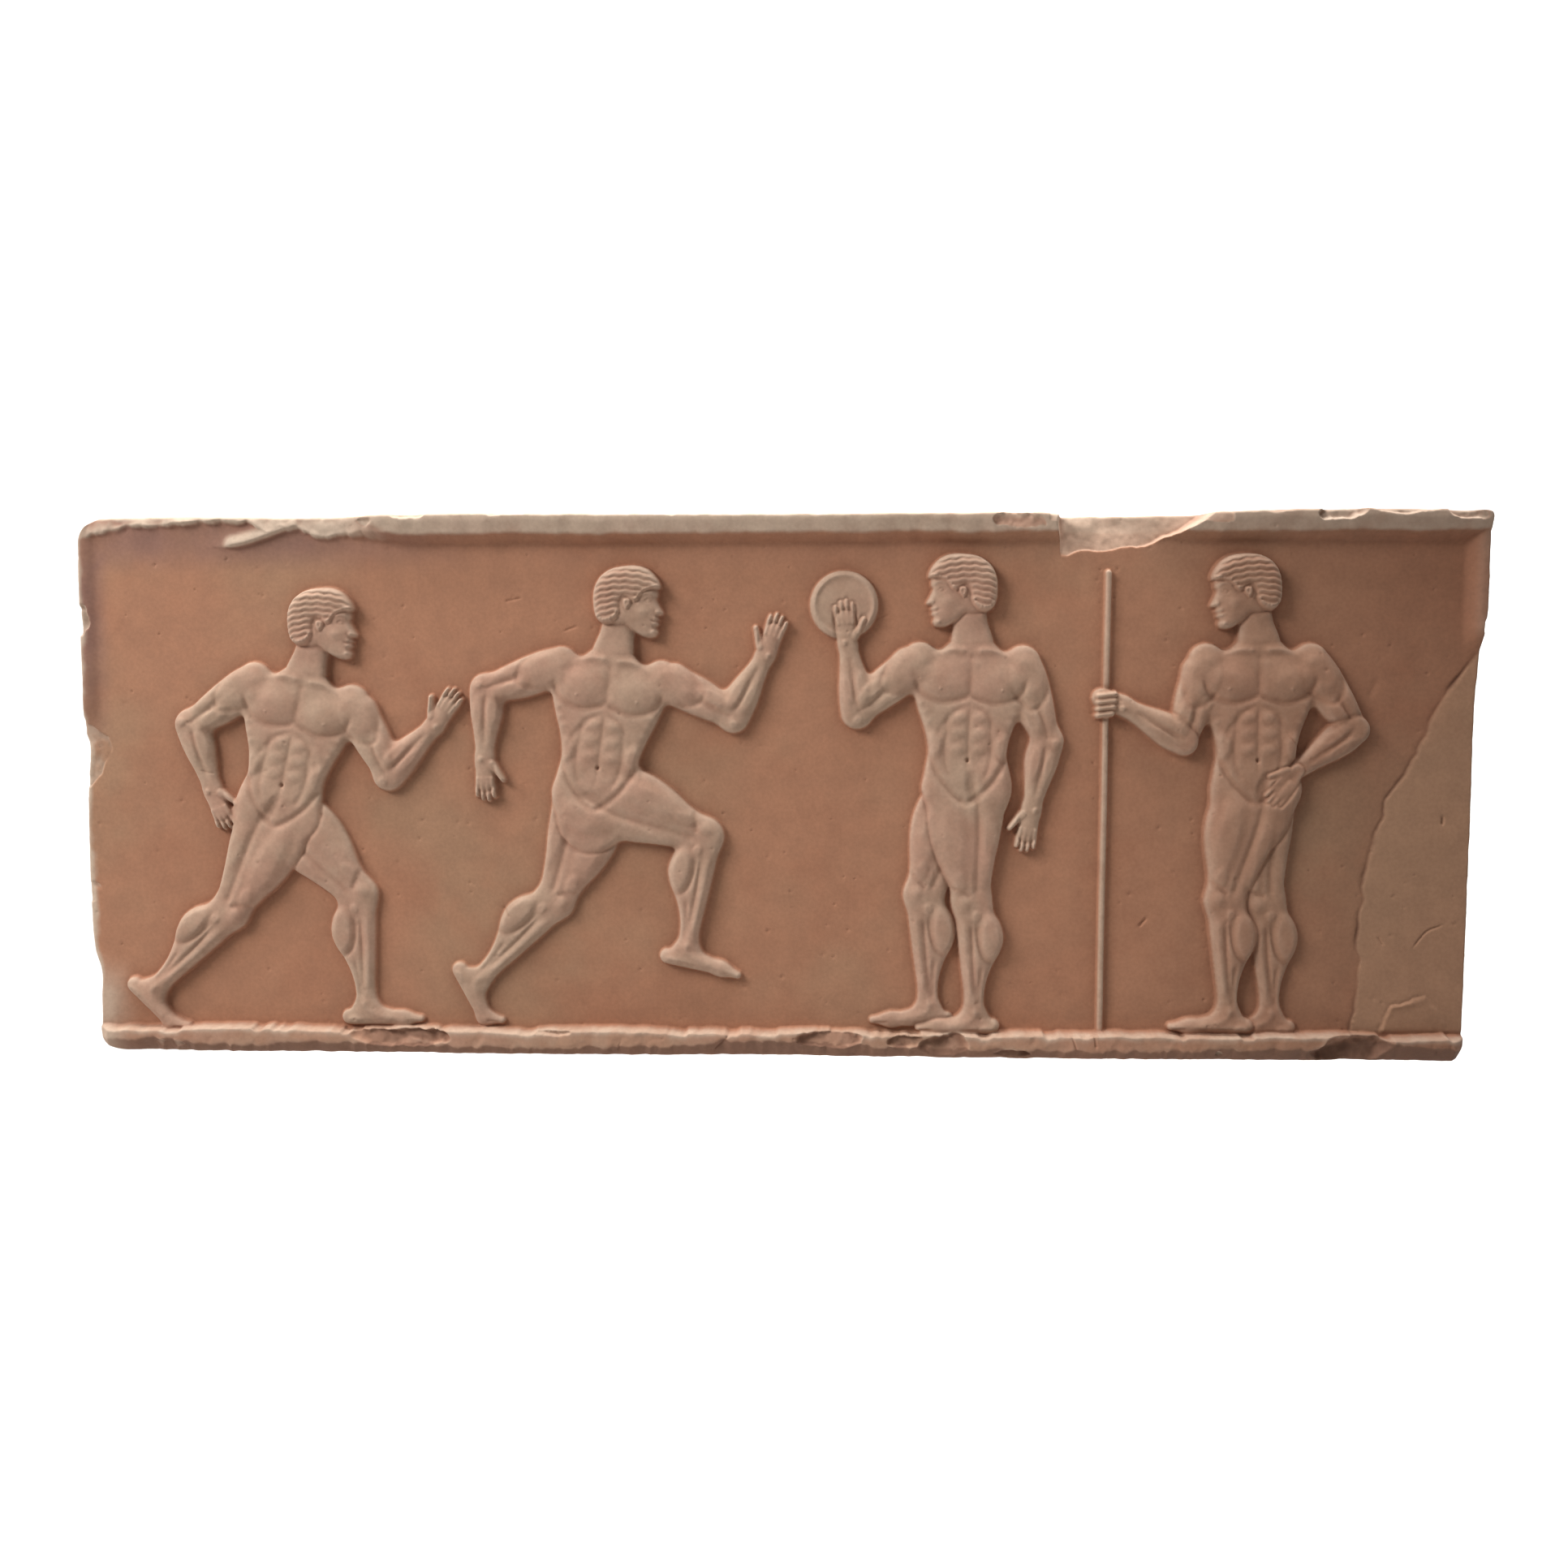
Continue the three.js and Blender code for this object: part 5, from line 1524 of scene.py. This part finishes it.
# Ranges of noise over which one colour turns into the next, and the shares at their ends
OCHRE_PATCHES, DUSTY_PATCHES = (.42, .62), (.35, .65)
PLUM_PATCHES, RUST_PATCHES, RUST_SHARE = (.3, .6, .5, 1.0), (.5, .7), .35
RUBBED_PATCHES, BROKEN_PATCHES = (.25, .6, .78, 1.0), (.25, .55, .7, 1.0)

# Where stains set in and where colours darken towards the right, in metres along or up the panel, and the
# shares at the ends of that
PLUM_TOP, PLUM_TOP_ALONG = (.12, .141), (-.12, -.3, .15, 1.0)
PLUM_LEFT, PLUM_LEFT_UP = (-.38, -.395), (.0, .09)
# The last of these darkens every colour towards the right end: painted shade where the light falls off
REDDER_RIGHT, BARE_RIGHT, PAINTED_LIGHT_FALLOFF = (.3, .39, 0, .6), (.1, .33, 0, .68), (.12, .4, 1.0, .64)

# The most of its colour that a mask lays on, first the pale ones and then the dark ones in their order
RUBBED_MOST, CEMENT_MOST = .45, .55
# The dark ones are dirt and painted shade round the figures and in hollows, painted shade on the ledge's
# turned lower edge with stains in its old breaks, and the crack
DARK_STAINS_AND_SHADE = (
    ("halo", .3, "soil_and_shade"), ("hollow", .45, "soil_and_shade"), ("shade", .9, "underside_shade"), ("crack", .75, "crack"),
)

# Tone, roughness and bump: ranges of noise and what they turn into
MOTTLE_TONE, SPECK_TONE = (.3, .7, .94, 1.05), (.3, .7, .95, 1.05)
MATT, SPECULAR = (.2, .8, .78, .93), .25
BUMP_MOTTLE, BUMP_SPECK, BUMP_STRENGTH, BUMP_HEIGHT = .6, .4, .35, .0004


def ground_colour(tree, broad, patch, x, z, colours):
    """The background: two clays, with a plum stain at the top left, patches of rust, and a redder, darker
    right end.
    """
    ground = mixed(tree, ramp(tree, broad, *OCHRE_PATCHES), rgba(colours.ground), rgba(colours.ochre))
    at_left = scaled(tree, ramp(tree, x, *PLUM_LEFT), ramp(tree, z, *PLUM_LEFT_UP))
    at_top = scaled(tree, ramp(tree, z, *PLUM_TOP), ramp(tree, x, *PLUM_TOP_ALONG))
    plum = scaled(tree, summed(tree, at_left, at_top), ramp(tree, patch, *PLUM_PATCHES))
    ground = mixed(tree, plum, ground, rgba(colours.plum))
    rust = scaled(tree, ramp(tree, patch, *RUST_PATCHES), RUST_SHARE)
    rust = summed(tree, rust, ramp(tree, x, *REDDER_RIGHT))
    return mixed(tree, rust, ground, rgba(colours.rust))


def raised_colour(tree, ground, patch, x, worn, colours):
    """Figures and borders: paler and greyer than the ground, nearer to it at the right, rubbed on edges."""
    raised = mixed(tree, ramp(tree, patch, *DUSTY_PATCHES), rgba(colours.raised), rgba(colours.dusty))
    raised = mixed(tree, ramp(tree, x, *BARE_RIGHT), raised, ground)
    return mixed(tree, scaled(tree, worn, RUBBED_MOST), raised, rgba(colours.fresh))


def terracotta(colours):
    """Matt fired clay: two clays, patches of tone, pale breaks, dirt and painted shade in the hollows, and
    painted shade that darkens the colours towards the right end.
    """
    material = bpy.data.materials.new("terracotta")
    material.use_nodes = True
    tree = material.node_tree
    tree.nodes.clear()
    mask = {name: add(tree, "ShaderNodeAttribute", attribute_name=name).outputs["Fac"] for name in MASKS}
    place = add(tree, "ShaderNodeTexCoord").outputs["Object"]
    x, _, z = add(tree, "ShaderNodeSeparateXYZ", {0: place}).outputs
    broad, patch, speck, mottle = (cloud(tree, place, *noise) for noise in (BROAD, PATCH, SPECK, MOTTLE))
    ground = ground_colour(tree, broad, patch, x, z, colours)
    raised = raised_colour(tree, ground, patch, x, mask["worn"], colours)
    rubbed = scaled(tree, ramp(tree, mottle, *RUBBED_PATCHES), mask["figure"])
    colour = mixed(tree, rubbed, ground, raised)
    colour = mixed(tree, scaled(tree, mask["cement"], CEMENT_MOST), colour, rgba(colours.cement))
    broken = scaled(tree, mask["fresh"], ramp(tree, mottle, *BROKEN_PATCHES))
    colour = mixed(tree, broken, colour, rgba(colours.fresh))
    # Dark layers: dirt and painted shade, painted shade on the ledge's lower edge, and the crack
    for name, most, stain in DARK_STAINS_AND_SHADE:
        colour = mixed(tree, scaled(tree, mask[name], most), colour, rgba(getattr(colours, stain)))
    tone = times(tree, ramp(tree, mottle, *MOTTLE_TONE), ramp(tree, speck, *SPECK_TONE))
    # Painted shade: every colour darkens towards the right end, as the light falls off there
    tone = times(tree, tone, ramp(tree, x, *PAINTED_LIGHT_FALLOFF))
    toned = add(tree, "ShaderNodeVectorMath", {0: colour, "Scale": tone}, operation="SCALE").outputs[0]
    bumps = {0: scaled(tree, mottle, BUMP_MOTTLE), 1: scaled(tree, speck, BUMP_SPECK)}
    height = add(tree, "ShaderNodeMath", bumps, operation="ADD").outputs[0]
    bump = add(tree, "ShaderNodeBump", {"Strength": BUMP_STRENGTH, "Distance": BUMP_HEIGHT, "Height": height})
    shader = add(tree, "ShaderNodeBsdfPrincipled", {
        "Base Color": toned, "Roughness": ramp(tree, mottle, *MATT), "Normal": bump.outputs[0],
        "Specular IOR Level": SPECULAR,
    })
    add(tree, "ShaderNodeOutputMaterial", {"Surface": shader.outputs[0]})
    return material


# Sizes and colours that a user would change

def length(name, description, millimetres):
    """A size property, given in millimetres."""
    size = millimetres * MM
    return FloatProperty(name=name, description=description, default=size, unit="LENGTH", precision=4)


def paint(name, description, red, green, blue):
    """A colour property, given as seen on a screen."""
    colour = srgb(red, green, blue)
    return FloatVectorProperty(
        name=name, description=description, default=colour, subtype="COLOR", min=0, max=1,
    )


class ReliefSizes(bpy.types.PropertyGroup):
    """Sizes of the carving and its mesh"""

    lip: length("Lip", "Height of the lip along the top", 11.1)
    ledge: length("Ledge", "Height of the ledge that the figures stand on", 15)
    figure: length("Figure", "Height of a standing athlete", .871 * HEIGHT)
    discus: length("Discus", "Radius of the discus", 19.5)
    discus_rim: length("Discus rim", "Width of the discus's raised rim", 5.4)
    staff: length("Staff", "Width of the umpire's staff", 3.6)
    staff_height: length("Staff height", "Height of the umpire's staff above the ledge", 262.5)
    crack: length("Crack", "Width of the crack at its widest", 2.9)
    crack_depth: length("Crack depth", "Depth of the crack", 1.5)
    grain: length("Grain", "Size of the clay's grain", 1.6)
    grain_depth: length("Grain depth", "Depth of the clay's grain", .08)
    cell: length("Finest cell", "Side of the smallest cell of the mesh", .5)
    triangles: IntProperty(
        name="Triangles", description="Most triangles in the front of a section", default=165000,
    )


class ReliefColours(bpy.types.PropertyGroup):
    """Colours of the fired clay"""

    ground: paint("Ground", "Background of the relief", 167, 119, 92)
    ochre: paint("Ochre", "Yellower patches of the background", 162, 123, 96)
    plum: paint("Plum", "Dark purple-brown stain at the top left", 140, 104, 91)
    rust: paint("Rust", "Redder patches of the background", 160, 108, 82)
    raised: paint("Raised", "Figures and borders", 173, 134, 113)
    dusty: paint("Dusty", "Greyer patches of the figures", 170, 141, 119)
    # Also laid as painted light: a highlight along the ledge's upper edge, and a pale rim kept to the lit
    # sides
    fresh: paint("Fresh", "Breaks and worn edges", 190, 168, 148)
    cement: paint("Cement", "Smoother end beyond the crack", 186, 147, 117)
    # Dirt and painted shade in the hollows and round the figures
    soil_and_shade: paint("Soil", "Soil in the hollows", 140, 90, 66)
    # Painted shade on the ledge's turned lower edge and bevelled right end, and the stain in its old breaks
    underside_shade: paint("Underside", "Turned lower edge of the ledge", 122, 88, 71)
    crack: paint("Crack", "Inside of the crack", 98, 62, 46)


class StageSettings(bpy.types.PropertyGroup):
    """Camera, floor and light"""

    lens: FloatProperty(
        name="Lens", description="Focal length in millimetres on a 36 mm sensor", default=28.34,
    )
    camera: FloatVectorProperty(
        name="Camera", description="Place of the camera", default=(.0313, -.7334, .049),
        subtype="TRANSLATION",
    )
    gaze: FloatVectorProperty(
        name="Gaze", description="Direction the camera looks in", default=(-.03238, .99721, -.0655),
        subtype="DIRECTION",
    )
    floor: length("Floor", "How far the floor lies below the panel's middle", 1600)
    backdrop: length("Backdrop", "How far behind the panel the backdrop rises", 2800)
    key: FloatProperty(name="Key", description="Power of the main light in watts", default=59, min=0)
    wash: FloatProperty(name="Wash", description="Power of the backdrop's light in watts", default=260, min=0)
    sky: FloatProperty(name="Sky", description="Strength of the pale surroundings", default=.34, min=0)
    paper: paint("Paper", "Floor and backdrop", 244, 243, 241)


# Operators

class RELIEF_OT_carve_panel(bpy.types.Operator):
    """Carve the panel, weather it and finish it"""

    bl_idname = "relief.carve_panel"
    bl_label = "Carve the panel"

    def execute(self, context):
        sizes = context.scene.relief_sizes
        tree, finish = grain_tree(), terracotta(context.scene.relief_colours)
        for mesh in build_panel(carve_face(sizes), sizes):
            piece = roughened(mesh, sizes, tree, finish)
            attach(piece, BODY)
            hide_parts(NODE)
        return {"FINISHED"}


# Lights: place, size and what they face, in metres
KEY_LIGHT = ((-1.75, -1.05, 1.4), .95, (0, 0, 0))
WASH_LIGHT = ((.4, .5, 2.8), 2.4, (.4, 2.6, -.6))
SENSOR, NEAREST = 36, .01

# The sweep of paper, in metres: the radius of its curve, half its width, its near edge and its top
SWEEP_RADIUS, SWEEP_HALF, SWEEP_NEAR, SWEEP_TOP, SWEEP_STEPS = .9, 6.0, -1.2, 4.0, 16
PAPER_ROUGHNESS = .9


def area_light(name, power, place, size, target):
    """A square soft light that faces a point."""
    light = bpy.data.lights.new(name, "AREA")
    light.energy, light.size = power, size
    lamp = bpy.data.objects.new(name, light)
    bpy.context.scene.collection.objects.link(lamp)
    lamp.location = place
    lamp.rotation_euler = (Vector(target) - Vector(place)).to_track_quat("-Z", "Y").to_euler()


def paper_sweep(settings):
    """A floor that curves up into a backdrop."""
    radius, floor, back = SWEEP_RADIUS, -settings.floor, settings.backdrop
    turns = [pi / 2 * k / SWEEP_STEPS for k in range(SWEEP_STEPS + 1)]
    profile = [(SWEEP_NEAR, floor)]
    profile += [(back - radius + radius * sin(a), floor + radius - radius * cos(a)) for a in turns]
    profile.append((back, SWEEP_TOP))
    points = [(side, y, z) for y, z in profile for side in (-SWEEP_HALF, SWEEP_HALF)]
    faces = [(k, k + 1, k + 3, k + 2) for k in range(0, len(points) - 2, 2)]
    mesh = bpy.data.meshes.new("paper_sweep")
    mesh.from_pydata(points, [], faces)
    mesh.polygons.foreach_set("use_smooth", [True] * len(faces))
    sweep = bpy.data.objects.new("paper_sweep", mesh)
    bpy.context.scene.collection.objects.link(sweep)
    material = bpy.data.materials.new("paper")
    material.use_nodes = True
    shader = material.node_tree.nodes["Principled BSDF"]
    shader.inputs["Base Color"].default_value = (*settings.paper, 1)
    shader.inputs["Roughness"].default_value = PAPER_ROUGHNESS
    mesh.materials.append(material)
    return sweep


class RELIEF_OT_set_stage(bpy.types.Operator):
    """Set the camera, the floor and the lights"""

    bl_idname = "relief.set_stage"
    bl_label = "Set the stage"

    def execute(self, context):
        settings = context.scene.relief_stage
        camera = bpy.data.cameras.new("camera")
        camera.lens, camera.sensor_width, camera.clip_start = settings.lens, SENSOR, NEAREST
        eye = bpy.data.objects.new("camera", camera)
        context.scene.collection.objects.link(eye)
        forward = Vector(settings.gaze).normalized()
        right = forward.cross(Vector((0, 0, 1))).normalized()
        turn = Matrix((right, right.cross(forward), -forward)).transposed()
        eye.matrix_world = Matrix.Translation(settings.camera) @ turn.to_4x4()
        context.scene.camera = eye
        paper_sweep(settings)
        area_light("key", settings.key, *KEY_LIGHT)
        area_light("wash", settings.wash, *WASH_LIGHT)
        world = bpy.data.worlds.new("surroundings")
        world.use_nodes = True
        background = world.node_tree.nodes["Background"]
        background.inputs["Color"].default_value = (*settings.paper, 1)
        background.inputs["Strength"].default_value = settings.sky
        context.scene.world = world
        context.scene.view_settings.view_transform = "Standard"
        return {"FINISHED"}


class RELIEF_PT_sidebar(bpy.types.Panel):
    """Lists the panel's steps, sizes and colours"""

    bl_label = "Relief panel"
    bl_idname = "RELIEF_PT_sidebar"
    bl_space_type = "VIEW_3D"
    bl_region_type = "UI"
    bl_category = "Relief"

    def draw(self, context):
        for group, operator in (
            (context.scene.relief_sizes, RELIEF_OT_carve_panel),
            (context.scene.relief_colours, None),
            (context.scene.relief_stage, RELIEF_OT_set_stage),
        ):
            box = self.layout.box()
            for name in group.__annotations__:
                box.prop(group, name)
            if operator:
                box.operator(operator.bl_idname)


GROUPS = {"relief_sizes": ReliefSizes, "relief_colours": ReliefColours, "relief_stage": StageSettings}
CLASSES = (*GROUPS.values(), RELIEF_OT_carve_panel, RELIEF_OT_set_stage, RELIEF_PT_sidebar)


def register():
    for cls in CLASSES:
        bpy.utils.register_class(cls)
    for name, group in GROUPS.items():
        setattr(bpy.types.Scene, name, PointerProperty(type=group))


def unregister():
    for name in GROUPS:
        delattr(bpy.types.Scene, name)
    for cls in reversed(CLASSES):
        bpy.utils.unregister_class(cls)


def main():
    register()
    bpy.ops.relief.set_stage()
    bpy.ops.relief.carve_panel()


if __name__ == "__main__":
    main()
